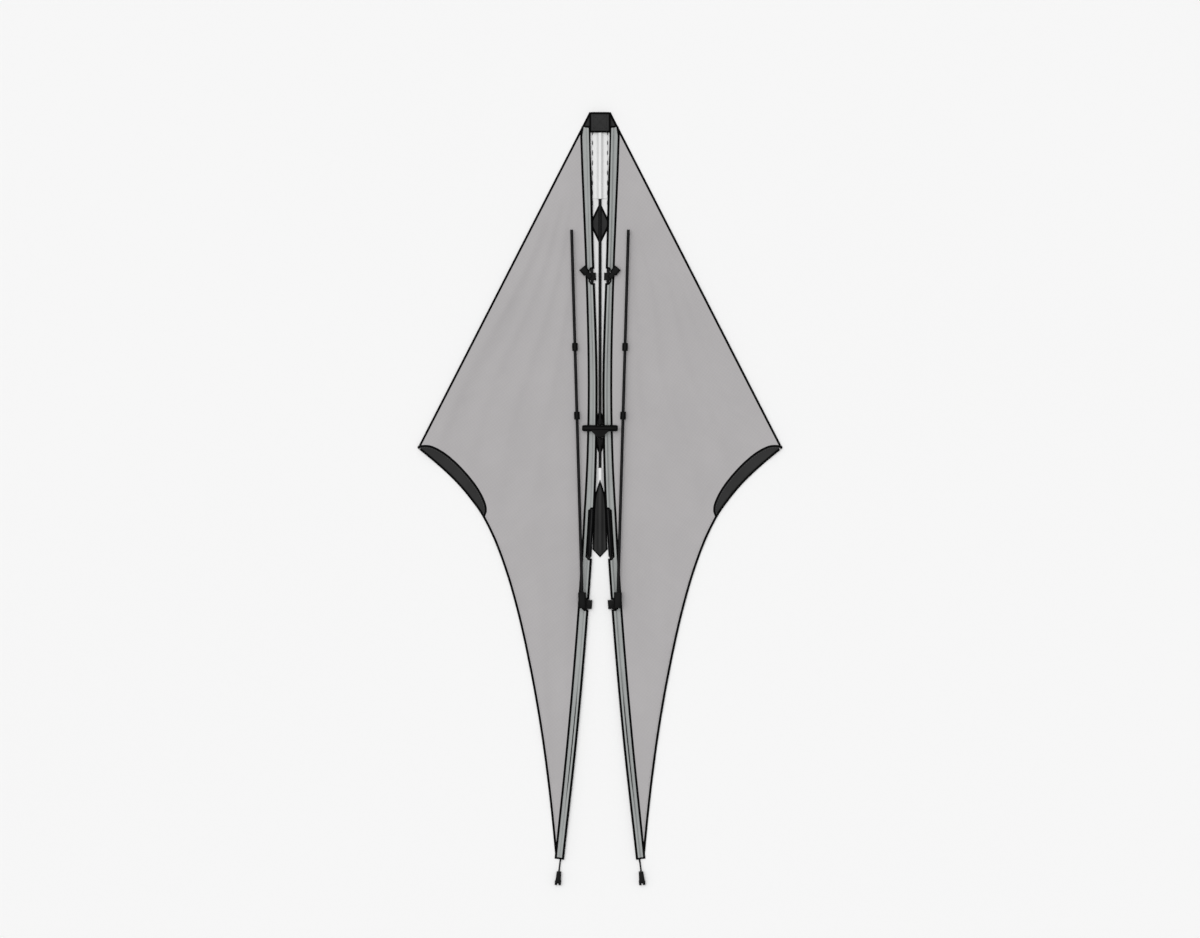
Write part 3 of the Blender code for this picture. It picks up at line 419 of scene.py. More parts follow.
def settled(made):
    """Applies an object's modifiers."""
    depsgraph = bpy.context.evaluated_depsgraph_get()
    mesh = bpy.data.meshes.new_from_object(made.evaluated_get(depsgraph), depsgraph=depsgraph)
    made.modifiers.clear()
    old, made.data = made.data, mesh
    bpy.data.meshes.remove(old)
    mesh.name = made.name
    return made


def thicken(made, thickness, offset=0.0):
    change = made.modifiers.new("Thickness", "SOLIDIFY")
    change.thickness = thickness
    change.offset = offset
    change.use_rim = True
    return settled(made)


def area_of(made):
    return float(sum(face.area for face in made.data.polygons))


def shape_of(mesh, weld=False):
    """A mesh opened for changes, with its doubled points joined if asked."""
    shape = bmesh.new()
    shape.from_mesh(mesh)
    if weld:
        bmesh.ops.remove_doubles(shape, verts=shape.verts, dist=WELD)
    return shape


def put_back(shape, mesh):
    shape.to_mesh(mesh)
    shape.free()


def strip_faces(rows, columns, closed_rows=False, closed_columns=False):
    """Quads between rows of points that are stored one row after another."""
    faces = []
    for row in range(rows if closed_rows else rows - 1):
        start, below = row * columns, (row + 1) % rows * columns
        for column in range(columns if closed_columns else columns - 1):
            beside = (column + 1) % columns
            faces.append((start + column, start + beside, below + beside, below + column))
    return faces


def faced_up(made):
    """Turns an open cloth's faces upwards."""
    if sum(face.normal.z * face.area for face in made.data.polygons) < 0:
        made.data.flip_normals()
    return made


def lofted(name, rings, finish, side=None, closed=False):
    """A skin through rings of points, with both ends capped unless the rings form a loop."""
    rows, columns = len(rings), len(rings[0])
    faces = strip_faces(rows, columns, closed, True)
    if not closed:
        faces.append(tuple(reversed(range(columns))))
        faces.append(tuple(range((rows - 1) * columns, rows * columns)))
    made = piece(name, [point for ring in rings for point in ring], faces, finish, side)
    shape = shape_of(made.data)
    bmesh.ops.recalc_face_normals(shape, faces=shape.faces)
    put_back(shape, made.data)
    return made


# Flat outlines and paths, as arrays of (x, y)


def top_loops(node):
    """Outlines of a flat node's upper face, the outer one first and anticlockwise."""
    shape = shape_of(frame["nodes"][node].data, weld=True)
    shape.normal_update()
    upper = [face for face in shape.faces if face.normal.z > 0.9]
    following = {}
    for face in upper:
        for loop in face.loops:
            if sum(other in upper for other in loop.edge.link_faces) == 1:
                following[loop.vert] = loop.link_loop_next.vert
    loops = []
    while following:
        vertex, points = next(iter(following)), []
        while vertex in following:
            points.append(vertex.co.xy[:])
            vertex = following.pop(vertex)
        loops.append(np.array(points))
    shape.free()
    return sorted(loops, key=lambda points: np.ptp(points[:, 1]), reverse=True)


def end_corner(loop, end, aside=1):
    """A corner at an outline's nose end (1) or tail end (-1), the outermost (1) or innermost (-1) there."""
    along = loop[:, 1] * end
    at_end = loop[along > along.max() - 0.0001]
    return at_end[np.argmax(at_end[:, 0] * aside)]


def nearest(loop, place):
    return int(np.argmin(np.linalg.norm(loop - place, axis=1)))


def stretch(loop, start, end):
    """The part of a closed loop from its point nearest to start, onwards to the one nearest to end."""
    turned = np.roll(loop, -nearest(loop, start), axis=0)
    return turned[: (nearest(turned, end) or len(turned)) + 1]


def subdivided(points, step):
    """The same line with more points, none further than a step from the next."""
    made = []
    for a, b in zip(points, points[1:]):
        count = max(1, math.ceil(np.linalg.norm(b - a) / step))
        made += [a + (b - a) * i / count for i in range(count)]
    return np.array(made + [points[-1]])


def smoothed(points, step):
    """A smooth line through the points, with a point about every step."""
    points = np.array(points, float)
    padded = np.vstack([2 * points[0] - points[1], points, 2 * points[-1] - points[-2]])
    made = []
    for before, a, b, after in zip(padded, padded[1:], padded[2:], padded[3:]):
        count = max(1, math.ceil(np.linalg.norm(b - a) / step))
        for i in range(count):
            t = i / count
            lean = (b - before) * t + (2 * before - 5 * a + 4 * b - after) * t * t
            made.append(a + 0.5 * (lean + (3 * a - before - 3 * b + after) * t**3))
    return np.array(made + [points[-1]])


def around(loop, step, line=subdivided):
    """A closed outline with a point about every step."""
    return line(np.vstack([loop, loop[:1]]), step)[:-1]


def along_of(path, closed=False):
    """Unit vectors along a path at each of its points."""
    run = np.roll(path, -1, axis=0) - np.roll(path, 1, axis=0) if closed else np.gradient(path, axis=0)
    return run / np.linalg.norm(run, axis=1)[:, None]


def across_of(path, closed=False):
    """Unit vectors to the right of a flat path at each of its points."""
    run = along_of(path, closed)
    return np.stack([run[:, 1], -run[:, 0]], axis=1)


def beside(path, reach):
    return path + across_of(path) * reach


def raised(places, height):
    """Flat places set at a height, which is one number or one for each place."""
    return np.column_stack([places, np.broadcast_to(height, len(places))])


def inside(points, loops):
    """Which points lie inside the loops, by counting crossings."""
    found = np.zeros(len(points), bool)
    x, y = points[:, 0], points[:, 1]
    for loop in loops:
        for (x0, y0), (x1, y1) in zip(loop, np.roll(loop, -1, axis=0)):
            if y0 != y1:
                crosses = (y0 > y) != (y1 > y)
                found ^= crosses & (x < (x1 - x0) * (y - y0) / (y1 - y0) + x0)
    return found


def gap_to(taken, places):
    """Distance of flat places from the nearest point of those taken."""
    tree = kdtree.KDTree(len(taken))
    for i, (x, y) in enumerate(taken):
        tree.insert((x, y, 0), i)
    tree.balance()
    return np.array([tree.find((x, y, 0))[2] for x, y in places])


def filled(loops, step, extra=None):
    """Triangles over the area inside loops: its own points, a lattice between them, and any extra points."""
    rim = np.concatenate(loops)
    edges, first = [], 0
    for loop in loops:
        edges += [(first + i, first + (i + 1) % len(loop)) for i in range(len(loop))]
        first += len(loop)
    if extra is not None:
        extra = extra[inside(extra, loops)]
        rim = np.concatenate([rim, extra[gap_to(rim, extra) > step * 0.02]])
    low, high = rim.min(0), rim.max(0)
    rise = step * math.sqrt(0.75)
    rows, columns = math.ceil((high[1] - low[1]) / rise), math.ceil((high[0] - low[0]) / step)
    spots = [(i + 0.5 * (j % 2), j) for j in range(rows + 1) for i in range(columns + 1)]
    lattice = np.array([(low[0] + step * across, low[1] + rise * along) for across, along in spots])
    lattice = lattice[inside(lattice, loops)]
    lattice = lattice[gap_to(rim, lattice) > step * 0.55]
    points = np.concatenate([rim, lattice])
    made = delaunay_2d_cdt([Vector(point) for point in points], edges, [], 0, WELD * 0.1)
    places, faces = np.array([point[:] for point in made[0]]), np.array(made[2])
    faces = faces[inside(places[faces].mean(1), loops)]
    a, b, c = (places[faces[:, i]] for i in range(3))
    turned = (b - a)[:, 0] * (c - a)[:, 1] - (b - a)[:, 1] * (c - a)[:, 0] < 0
    faces[turned] = faces[turned][:, ::-1]
    return places, faces


# Tape and stitches


def tape(name, path, low, high, level, thick, side=None, closed=False):
    """Black tape from low to high beside a path, lying on a surface whose level is a function."""
    out = across_of(path, closed)
    soft = min(0.0003, (high - low) / 4)
    section = ((low, -0.1), (low, 0.6), (low + soft, 1.0), ((low + high) / 2, 1.1))
    section += ((high - soft, 1.0), (high, 0.6), (high, -0.1))
    columns = []
    for reach, share in section:
        places = path + out * reach
        columns.append(raised(places, level(places) + share * thick))
    return lofted(name, np.stack(columns, axis=1), BINDING, side, closed)


def stitch_tree():
    """Geometry Nodes that lay a stitch at every pitch along the edges of a mesh, with uneven sizes."""
    tree = bpy.data.node_groups.new("stitches along a seam", "GeometryNodeTree")
    for way in ("INPUT", "OUTPUT"):
        tree.interface.new_socket("Geometry", in_out=way, socket_type="NodeSocketGeometry")
    inputs = {}
    for name in ("Pitch", "Length", "Radius", "Thread"):
        kind = "NodeSocketMaterial" if name == "Thread" else "NodeSocketFloat"
        inputs[name] = tree.interface.new_socket(name, in_out="INPUT", socket_type=kind).identifier

    def node(kind, sockets, settings=None):
        return add_node(tree, kind, settings, sockets).outputs

    given = node("NodeGroupInput", None)
    curve = node("GeometryNodeMeshToCurve", {"Mesh": given["Geometry"]})
    spaced = node(
        "GeometryNodeResampleCurve", {"Curve": curve[0], "Length": given["Pitch"]}, {"mode": "LENGTH"}
    )
    half = node("ShaderNodeMath", {0: given["Length"], 1: 0.5}, {"operation": "MULTIPLY"})
    size = node("ShaderNodeCombineXYZ", {0: half[0], 1: given["Radius"], 2: given["Radius"]})
    bead = node("GeometryNodeMeshUVSphere", {"Segments": 8, "Rings": 6, "Radius": 1.0})
    tangent = node("GeometryNodeInputTangent", None)
    turn = node("FunctionNodeAlignRotationToVector", {"Vector": tangent[0]}, {"axis": "X"})
    limits = {0: (0.88, 0.9, 0.9), 1: (1.12, 1.1, 1.1), "Seed": 7}
    uneven = node("FunctionNodeRandomValue", limits, {"data_type": "FLOAT_VECTOR"})
    scale = node("ShaderNodeVectorMath", {0: size[0], 1: uneven[0]}, {"operation": "MULTIPLY"})
    stitch = {"Points": spaced[0], "Instance": bead[0], "Rotation": turn[0], "Scale": scale[0]}
    laid = node("GeometryNodeInstanceOnPoints", stitch)
    real = node("GeometryNodeRealizeInstances", {0: laid[0]})
    shaded = node("GeometryNodeSetShadeSmooth", {0: real[0]})
    inked = node("GeometryNodeSetMaterial", {"Geometry": shaded[0], "Material": given["Thread"]})
    node("NodeGroupOutput", {0: inked[0]})
    return tree, inputs


STITCHES, STITCH_INPUTS = stitch_tree()


def sewn(name, paths, thread, side=None, pitch=STITCH_PITCH, length=STITCH_LENGTH, radius=THREAD_RADIUS):
    """A row of stitches along each path in space."""
    name += f"_{side}" if side else ""
    points, edges = [], []
    for path in paths:
        edges += [(len(points) + i, len(points) + i + 1) for i in range(len(path) - 1)]
        points += [(SIDES.get(side, 1) * x, y, z) for x, y, z in path]
    mesh = bpy.data.meshes.new(name)
    mesh.from_pydata(points, edges, [])
    made = put(name, mesh)
    rows = made.modifiers.new("Stitches", "NODES")
    rows.node_group = STITCHES
    for key, value in (("Pitch", pitch), ("Length", length), ("Radius", radius), ("Thread", thread.material)):
        rows[STITCH_INPUTS[key]] = value
    settled(made)
    return made


# Shape of the folded sail, on the right side

FOLD_END_EASE = (0.0024, -0.0004)
# Distance down, and how far the cloth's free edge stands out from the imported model's
TRAILING_EASE = (
    (0.671, 0.0020),
    (0.735, 0.0029),
    (0.775, 0.0044),
    (0.815, 0.0032),
    (0.855, 0.0020),
    (0.935, 0.0018),
    (1.095, 0.0026),
    (1.175, 0.0022),
    (1.255, 0.0018),
    (1.492, 0.0017),
)

INNER_LOOP, OUTER_LOOP = (top_loops(node)[0] for node in ("inner_sail_right", "outer_sail_right"))
FOLD_END = INNER_LOOP[np.argmax(INNER_LOOP[:, 0])] + FOLD_END_EASE
FOLD_NOSE = end_corner(INNER_LOOP, 1)
NOSE_MIDDLE = end_corner(INNER_LOOP, 1, -1)
TAIL = INNER_LOOP[np.argmin(INNER_LOOP[:, 1])]
FOLD_START = end_corner(OUTER_LOOP, 1)
TIP = end_corner(OUTER_LOOP, -1)
FOLD_LENGTH = float(np.linalg.norm(FOLD_END - FOLD_NOSE))
FOLD_RUN = (FOLD_END - FOLD_NOSE) / FOLD_LENGTH
FOLD_IN = np.array((FOLD_RUN[1], -FOLD_RUN[0]))
HINGE = np.array(HINGES["wing_right"][:2])

HEM = smoothed(stretch(INNER_LOOP, TAIL, FOLD_END), CLOTH_STEP)
HEM[-1] = FOLD_END
TRAILING = smoothed(stretch(OUTER_LOOP, TIP, FOLD_END), CLOTH_STEP)
TRAILING += across_of(TRAILING) * read_off(TRAILING_EASE, NOSE_Y - TRAILING[:, 1])[:, None]
TRAILING[-1] = FOLD_END
SEAM = smoothed(stretch(OUTER_LOOP, FOLD_START, TIP)[1:-1], CLOTH_STEP)

# Radius of the fold at the nose and at its end, and how far in the outer layer comes to rest
FOLD_RADIUS_NOSE = (OUTER_LEVEL - INNER_LEVEL) / 2
FOLD_RADIUS_END = 0.0026
FOLD_SETTLES = 0.060

# Heights of the outer layer's ripples
PLEATS = 0.0013
GATHERS = 0.0012
BILLOWS = 0.0011
CRUMPLES = 0.00035
FLUTTER = 0.0012


def inward(places):
    """Distance of flat places in from the fold line."""
    return (places - FOLD_NOSE) @ FOLD_IN


def fold_radius(places):
    share = np.clip((places - FOLD_NOSE) @ FOLD_RUN / FOLD_LENGTH, 0.0, 1.0)
    return FOLD_RADIUS_NOSE + (FOLD_RADIUS_END - FOLD_RADIUS_NOSE) * smoothstep(share * 1.6)


def fold_rounding(gap, radius):
    """How far the fold's round part stands above and below its middle."""
    return np.sqrt(np.clip(radius**2 - (radius - np.clip(gap, 0, radius)) ** 2, 0, None))


def seam_gap(places):
    """Distance across from the sleeve's seam out to flat places."""
    order = np.argsort(SEAM[:, 1])
    return places[:, 0] - np.interp(places[:, 1], SEAM[order, 1], SEAM[order, 0])


def polar(places, centre):
    """Angle from straight down the page, and distance, seen from a centre."""
    run = places - centre
    return np.arctan2(run[:, 0], -run[:, 1]), np.hypot(run[:, 0], run[:, 1])


def ripples(places, side):
    """How far the outer layer stands off its rest level, never below 0.

    Pleats run from the nose and gathers from the tip. They and the billows fade out at the sleeve's seam.
    """
    sign = SIDES[side]
    seed = 3.7 * sign
    angle, distance = polar(places, HINGE)
    tip_angle, tip_distance = polar(places, TIP)
    drift = rough(places, 0.22, seed)
    pleats = sway(angle * 62.0 + drift * 2.6 + sign) ** 2 * PLEATS
    pleats *= grows(distance, 0.05, 0.25) * (1.0 - grows(distance, 0.55, 0.4))
    gathers = sway(tip_angle * 44.0 + drift * 3.0) ** 2 * GATHERS
    gathers *= grows(tip_distance, 0.06, 0.3) * (1.0 - grows(tip_distance, 0.5, 0.3))
    billows = ((rough(places, 0.13, seed + 11.0) + 0.55) * BILLOWS).clip(0, None)
    crumples = (1.0 - np.abs(rough(places, 0.055, seed + 23.0)) * 2.0).clip(0, 1) ** 4 * CRUMPLES
    flutter = sway(places[:, 1] * 95.0 + drift * 4.0) * FLUTTER * np.exp(-gap_to(TRAILING, places) / 0.022)
    total = pleats + gathers + billows + crumples + flutter
    return total * grows(seam_gap(places), 0.004, 0.035) * grows(distance, 0.02, 0.10)


def outer_level(places, side):
    """Height of the outer layer's middle."""
    gap, radius = inward(places), fold_radius(places)
    height = INNER_LEVEL + radius + fold_rounding(gap, radius)
    rest = height + (OUTER_LEVEL - height) * grows(gap, radius, FOLD_SETTLES) * smoothstep(gap / 0.004)
    return rest + ripples(places, side) * grows(gap, radius, 0.03)


def inner_level(places):
    """Height of the inner layer's middle."""
    gap, radius = inward(places), fold_radius(places)
    return INNER_LEVEL + radius - fold_rounding(gap, radius)


def swing_share(places):
    """Share of the wing's swing that a place on the outer layer makes: 0 on the fold and 1 at the seam.

    It falls evenly with the angle between the two, seen from the hinge, so the cloth opens out smoothly.
    """
    angle, distance = polar(places, HINGE)
    fold_slope = math.atan2(FOLD_RUN[0], -FOLD_RUN[1])
    fold_offset = -float((HINGE - FOLD_NOSE) @ FOLD_IN)
    slant = np.clip(-fold_offset / np.maximum(distance, abs(fold_offset) + 1e-6), -1, 1)
    fold_angle = fold_slope + np.arcsin(slant)
    seam_angle, seam_distance = polar(SEAM, HINGE)
    order = np.argsort(seam_distance)
    start = np.interp(distance, seam_distance[order], seam_angle[order])
    return np.clip((fold_angle - angle) / np.maximum(fold_angle - start, 0.05), 0.0, 1.0)


def places_of(made, side):
    """A mesh's flat places, on the right side."""
    points = np.zeros(len(made.data.vertices) * 3, np.float32)
    made.data.vertices.foreach_get("co", points)
    return points.reshape(-1, 3)[:, :2].astype(float) * (SIDES[side], 1)


def unfold(made, side, shares=None):
    """Sets an outer piece's place into its own points, working out each point's share of the swing when none
    is given.
    """
    if shares is None:
        shares = swing_share(places_of(made, side))
    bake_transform(made)
    return made


def fold_line(start):
    """Points along the fold, from its end up to a start at the nose."""
    along = np.linspace(0.0, 1.0, int(FOLD_LENGTH / CLOTH_STEP) + 1)
    return FOLD_END + (start - FOLD_END) * along[:, None]


def fold_rows(start):
    """Points in rows beside the fold, close together where the cloth turns."""
    line = fold_line(start)
    radius = fold_radius(line)[:, None]
    rows = [line + FOLD_IN * radius * (1 - math.cos(math.radians(turn))) for turn in (14, 32, 55, 90)]
    rows += [line + FOLD_IN * (radius + reach) for reach in (0.0018, 0.0042)]
    return np.concatenate(rows)


def sail(side):
    """One half of the sail: a single sheet that turns back over itself at the fold."""
    line = fold_line(FOLD_START)
    inner_nose = subdivided([FOLD_START, FOLD_NOSE], CLOTH_STEP)[1:]
    middle = subdivided(stretch(INNER_LOOP, NOSE_MIDDLE, TAIL), CLOTH_STEP)
    top = subdivided([FOLD_NOSE, NOSE_MIDDLE], CLOTH_STEP)[1:-1]
    inner_rim = np.concatenate([HEM[:-1], line, inner_nose, top, middle[:-1]])
    inner_places, inner_faces = filled([inner_rim], CLOTH_STEP, fold_rows(FOLD_NOSE))
    outer_top = subdivided([FOLD_START, SEAM[0]], CLOTH_STEP)[1:]
    end = subdivided([SEAM[-1], TRAILING[0]], CLOTH_STEP)[1:]
    outer_rim = np.concatenate([outer_top, SEAM[1:], end, TRAILING[1:-1], line])
    outer_places, outer_faces = filled([outer_rim], CLOTH_STEP, fold_rows(FOLD_START))
    inner_points = raised(inner_places, inner_level(inner_places))
    outer_points = raised(outer_places, outer_level(outer_places, side))
    faces = [*inner_faces[:, ::-1], *(outer_faces + len(inner_points))]
    made = piece("sail", np.concatenate([inner_points, outer_points]), faces, SAIL, side)
    laid_out = outer_places - 2 * inward(outer_places)[:, None] * FOLD_IN
    add_cloth_map(made, np.concatenate([inner_places, laid_out]))
    shares = np.concatenate([np.zeros(len(inner_points)), swing_share(outer_places)]).astype(np.float32)
    made.data.attributes.new("share", "FLOAT", "POINT").data.foreach_set("value", shares)
    put_back(shape_of(made.data, weld=True), made.data)
    area = area_of(made)
    thicken(made, SAIL_THICK)
    kept = made.data.attributes["share"]
    shares = np.zeros(len(made.data.vertices), np.float32)
    kept.data.foreach_get("value", shares)
    made.data.attributes.remove(kept)
    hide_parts(f"inner_sail_{side}", f"outer_sail_{side}")
    unfold(made, side, shares)
    return made, area


def binding(name, path, level, half_thick, side):
    """Binding tape that wraps a cloth's free edge, which lies to the left of a path."""
    out = across_of(path)
    over = half_thick + TAPE_THICK
    lip, crease = 0.0003, -0.0002
    section = ((-BINDING_WIDTH, half_thick * 0.5), (-BINDING_WIDTH, over), (-BINDING_WIDTH / 2, over * 1.06))
    section += ((crease, over), (lip, over * 0.5), (lip, -over * 0.5), (crease, -over))
    section += ((-BINDING_WIDTH / 2, -over), (-BINDING_WIDTH, -over), (-BINDING_WIDTH, -half_thick * 0.5))
    base = level(path)
    columns = []
    for reach, height in section:
        places = path + out * reach
        columns.append(raised(places, (level(places) if reach < crease else base) + height))
    return lofted(name, np.stack(columns, axis=1), BINDING, side)


def trailing_binding(side):
    """Black binding along the outer layer's free edge, and its stitches."""
    def level(places):
        return outer_level(places, side)

    made = binding("trailing_binding", TRAILING, level, SAIL_THICK / 2, side)
    row = beside(TRAILING, -BINDING_WIDTH - 0.0022)
    row = raised(row, level(row) + (SAIL_THICK / 2 + THREAD_RADIUS * 0.3))
    thread = sewn("trailing_stitches", [row], SAIL_THREAD, side)
    return [unfold(made, side), unfold(thread, side)]


def hem_binding(side):
    """Black binding along the inner layer's free edge, pressed thin where the kite lies on it."""
    fixed(binding("hem_binding", HEM, inner_level, SAIL_THICK / 2 - 0.00012, side), "root")


def fold_shade_tape(side):
    """Black tape round the fold: painted shade, a dark band that stands in for the shade along the crease."""
    overhang, floor = 0.0004, 0.00006
    line = subdivided([FOLD_NOSE + FOLD_RUN * overhang, FOLD_END + FOLD_RUN * overhang], CLOTH_STEP)
    over = SAIL_THICK / 2 + 0.00004
    radius = fold_radius(line)
    outer, bend, inner = [], [], []
    for reach in (BINDING_WIDTH, BINDING_WIDTH * 0.7):
        places = line + FOLD_IN * reach
        outer.append(raised(places, outer_level(places, side) + over))
        inner.append(raised(places, inner_level(places) - over))
    for turn in np.radians((75, 50, 25, 0, -25, -50, -75)):
        places = line + FOLD_IN * (radius - (radius + over) * math.cos(turn))[:, None]
        bend.append(raised(places, INNER_LEVEL + radius + (radius + over) * math.sin(turn)))
    grid = np.stack([*outer, *bend, *inner[::-1]], axis=1)
    grid[:, :, 2] = np.maximum(grid[:, :, 2], floor)
    made = piece("fold_shade_tape", grid.reshape(-1, 3), strip_faces(*grid.shape[:2]), BINDING, side)
    thicken(made, TAPE_THICK * 0.5)
    places = places_of(made, side)
    heights = np.array([vertex.co.z for vertex in made.data.vertices])
    upper = heights > INNER_LEVEL + fold_radius(places)
    return [unfold(made, side, swing_share(places) * upper)]


CRESCENT_DROP = 0.0032
CRESCENT_BORDER = 0.0020
# Distance down, and how far out the crescent's inner line is moved there
CRESCENT_EASE = (
    (0.6600, 0.0000),
    (0.6674, 0.0008),
    (0.6754, 0.0028),
    (0.6954, 0.0040),
    (0.7154, 0.0037),
    (0.7354, 0.0023),
    (0.7554, 0.0004),
    (0.7754, -0.0012),
    (0.7900, -0.0024),
    (0.7990, -0.0018),
    (0.8070, 0.0000),
)


def crescent(side):
    """Dark reinforcement on the outer layer at the end of the fold, with its own bound edge."""
    loop = top_loops("edge_patch_right")[0]
    loop[:, 1] -= CRESCENT_DROP * smoothstep((FOLD_END[1] - loop[:, 1]) / 0.15)
    inner_line = subdivided(stretch(loop, loop[np.argmax(loop[:, 0])], loop[np.argmin(loop[:, 1])]), 0.001)
    clear = inner_line[gap_to(TRAILING, inner_line) > BINDING_WIDTH * 0.7]
    inner_run = smoothed(np.vstack([clear[:-4:8], clear[-1:]]), PATCH_STEP)
    inner_run[:, 0] += read_off(CRESCENT_EASE, NOSE_Y - inner_run[:, 1])
    first, last = nearest(TRAILING, inner_run[-1]), nearest(TRAILING, inner_run[0])
    outer_run = beside(TRAILING[first : last + 1], -BINDING_WIDTH + 0.0004)
    places, faces = filled([np.concatenate([inner_run, outer_run[1:-1]])], PATCH_STEP)

    def level(places):
        return outer_level(places, side) + SAIL_THICK / 2 + PATCH_THICK / 2 + 0.00005

    def foot(places):
        return level(places) - PATCH_THICK / 2

    made = thicken(piece("edge_patch_cloth", raised(places, level(places)), faces, PATCH, side), PATCH_THICK)
    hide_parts(f"edge_patch_{side}")
    rim = np.vstack([(FOLD_END * 2 + inner_run[0]) / 3, inner_run])
    thick = PATCH_THICK + TAPE_THICK
    border = tape("edge_patch_border", rim, -CRESCENT_BORDER, CRESCENT_BORDER, foot, thick, side)
    row = beside(inner_run, -0.0035)
    row = raised(row, level(row) + PATCH_THICK / 2 + THREAD_RADIUS * 0.3)
    thread = sewn("edge_patch_stitches", [row], GREY_THREAD, side)
    return [unfold(sewn_on, side) for sewn_on in (made, border, thread)]


# Leading edge sleeve, on the right side

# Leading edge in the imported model: distance down, and distance across to the tube's axis
LEADING_EDGE = (
    (0.0283, 0.0238),
    (0.2500, 0.0188),
    (0.5600, 0.0103),
    (0.7500, 0.0138),
    (0.9500, 0.0254),
    (1.2300, 0.0487),
    (1.4924, 0.0773),
)
# Distance down, and distance from the tube's axis out to the sleeve's seam
SLEEVE_SEAM = (
    (0.0283, 0.0108),
    (0.0470, 0.0142),
    (0.1164, 0.0134),
    (0.1964, 0.0118),
    (0.2764, 0.0105),
    (0.3564, 0.0106),
    (0.4364, 0.0113),
    (0.5164, 0.0121),
    (0.6000, 0.0124),
    (0.7000, 0.0132),
    (0.8000, 0.0148),
    (0.9000, 0.0144),
    (1.1100, 0.0139),
    (1.2364, 0.0134),
    (1.3564, 0.0125),
    (1.4924, 0.0114),
)
# Openings in the sleeve's fold: distance down to the middle, length, and the radius of the corners
OPENINGS = ((0.3280, 0.0290, 0.0060), (0.8433, 0.0990, 0.0050), (0.9843, 0.0196, 0.0016))
SLEEVE_END = 1.4942
STATION_STEP = 0.0045
TAPE_REACH = 0.0036
AXIS_LEVEL = sum(levels("upper_tube_right")) / 2
SLEEVE_RADIUS = levels("leading_edge_sleeve_right")[1] - AXIS_LEVEL
FOLD_OVER = 0.0044
OPENING_EASE = 0.0120
MOUTH_SLANT = 0.0036
CREASE_REACH = 0.0016
PUCKERS = 0.00016

# Section of the sleeve: three columns on the upper flange, the tape's edge, the foot of the tube's cover,
# the cover itself and the lower flange. A distance out of None is worked out from the seam.
FOOT = ((0.0, 0.0), (0.0002, 0.00012), (0.0006, 0.0004), (0.0011, 0.0010), (0.0016, 0.0019))
COVER = np.radians(np.linspace(18, 212, 19))
SEAM_SHARES = (1.0, 0.86, 0.45)
SECTION = [(None, FLANGE_HIGH)] * len(SEAM_SHARES) + [(FOLD_OVER + TAPE_REACH, FLANGE_HIGH)]
SECTION += [(FOLD_OVER - back, FLANGE_HIGH + rise) for back, rise in FOOT]
SECTION += [(SLEEVE_RADIUS * math.cos(turn), AXIS_LEVEL + SLEEVE_RADIUS * math.sin(turn)) for turn in COVER]
SECTION += [(-0.0024, FLANGE_LOW), (0.0, FLANGE_LOW), (FOLD_OVER, FLANGE_LOW), (None, FLANGE_LOW)]
TAPE_EDGE = len(SEAM_SHARES)
COVER_START = TAPE_EDGE + 1 + len(FOOT)
COVER_END = COVER_START + len(COVER)
# The cover's columns from here on carry black tape at every station: painted shade for the sleeve's shaded
# side that faces the middle of the kite.
SHADE_BAND_START = COVER_START + 8


def axis_across(down):
    """Distance across to the tube's axis, on a smooth curve through the stations."""
    places, values = np.array(LEADING_EDGE).T
    slopes = np.gradient(values, places)
    i = np.clip(np.searchsorted(places, down) - 1, 0, len(places) - 2)
    span = places[i + 1] - places[i]
    t = (down - places[i]) / span
    start = (1 + 2 * t) * (1 - t) ** 2 * values[i] + t * (1 - t) ** 2 * span * slopes[i]
    return start + t * t * (3 - 2 * t) * values[i + 1] + t * t * (t - 1) * span * slopes[i + 1]


def edge_frame(down):
    """Middle of the tube at each distance down, in plan, and the direction out from it to the seam."""
    step = 0.001
    turn = np.arctan((axis_across(down + step) - axis_across(down - step)) / (2 * step))
    return np.column_stack([axis_across(down), NOSE_Y - down]), np.column_stack([np.cos(turn), np.sin(turn)])


def sleeve_stations():
    """Distances down the sleeve, with some at the ends of each opening and of its binding."""
    ends = [LEADING_EDGE[0][0], LEADING_EDGE[0][0] + TAPE_REACH]
    for middle, length, _ in OPENINGS:
        reach = length / 2
        ends += [middle - reach - TAPE_REACH, middle - reach, middle + reach, middle + reach + TAPE_REACH]
    ends += [SLEEVE_END - TAPE_REACH, SLEEVE_END]
    stations = []
    for start, end in zip(ends, ends[1:]):
        count = max(2, math.ceil((end - start) / STATION_STEP))
        stations += list(np.linspace(start, end, count, endpoint=False))
    return np.array(stations + [ends[-1]])


STATIONS = sleeve_stations()


def crease_reach(down):
    """How far the loose fold stands out in front of the tube. Beside the nose webbing it fits closely."""
    return CREASE_REACH * grows(down, 0.060, 0.10)


def column_downs(out):
    """Where a column's points are: its stations, moved so that the openings get round corners."""
    downs = STATIONS.copy()
    share = 1.0 if out is None else np.clip((out + SLEEVE_RADIUS) / 0.0146, 0.0, 1.0)
    downs += MOUTH_SLANT * (0.28 - share) * (1.0 - smoothstep((downs - downs[0]) / OPENING_EASE))
    if out is None:
        return downs
    for middle, length, corner in OPENINGS:
        half, away = length / 2, STATIONS - middle
        deep = min(max(out - (FOLD_OVER - corner), 0.0), corner)
        cut = corner - math.sqrt(corner**2 - deep**2) + max(out - FOLD_OVER, 0.0)
        beyond = np.clip(np.abs(away) - half, 0.0, OPENING_EASE)
        share = np.where(np.abs(away) < half, np.abs(away) / half, 1.0 - beyond / OPENING_EASE)
        downs -= np.sign(away) * cut * share
    return downs


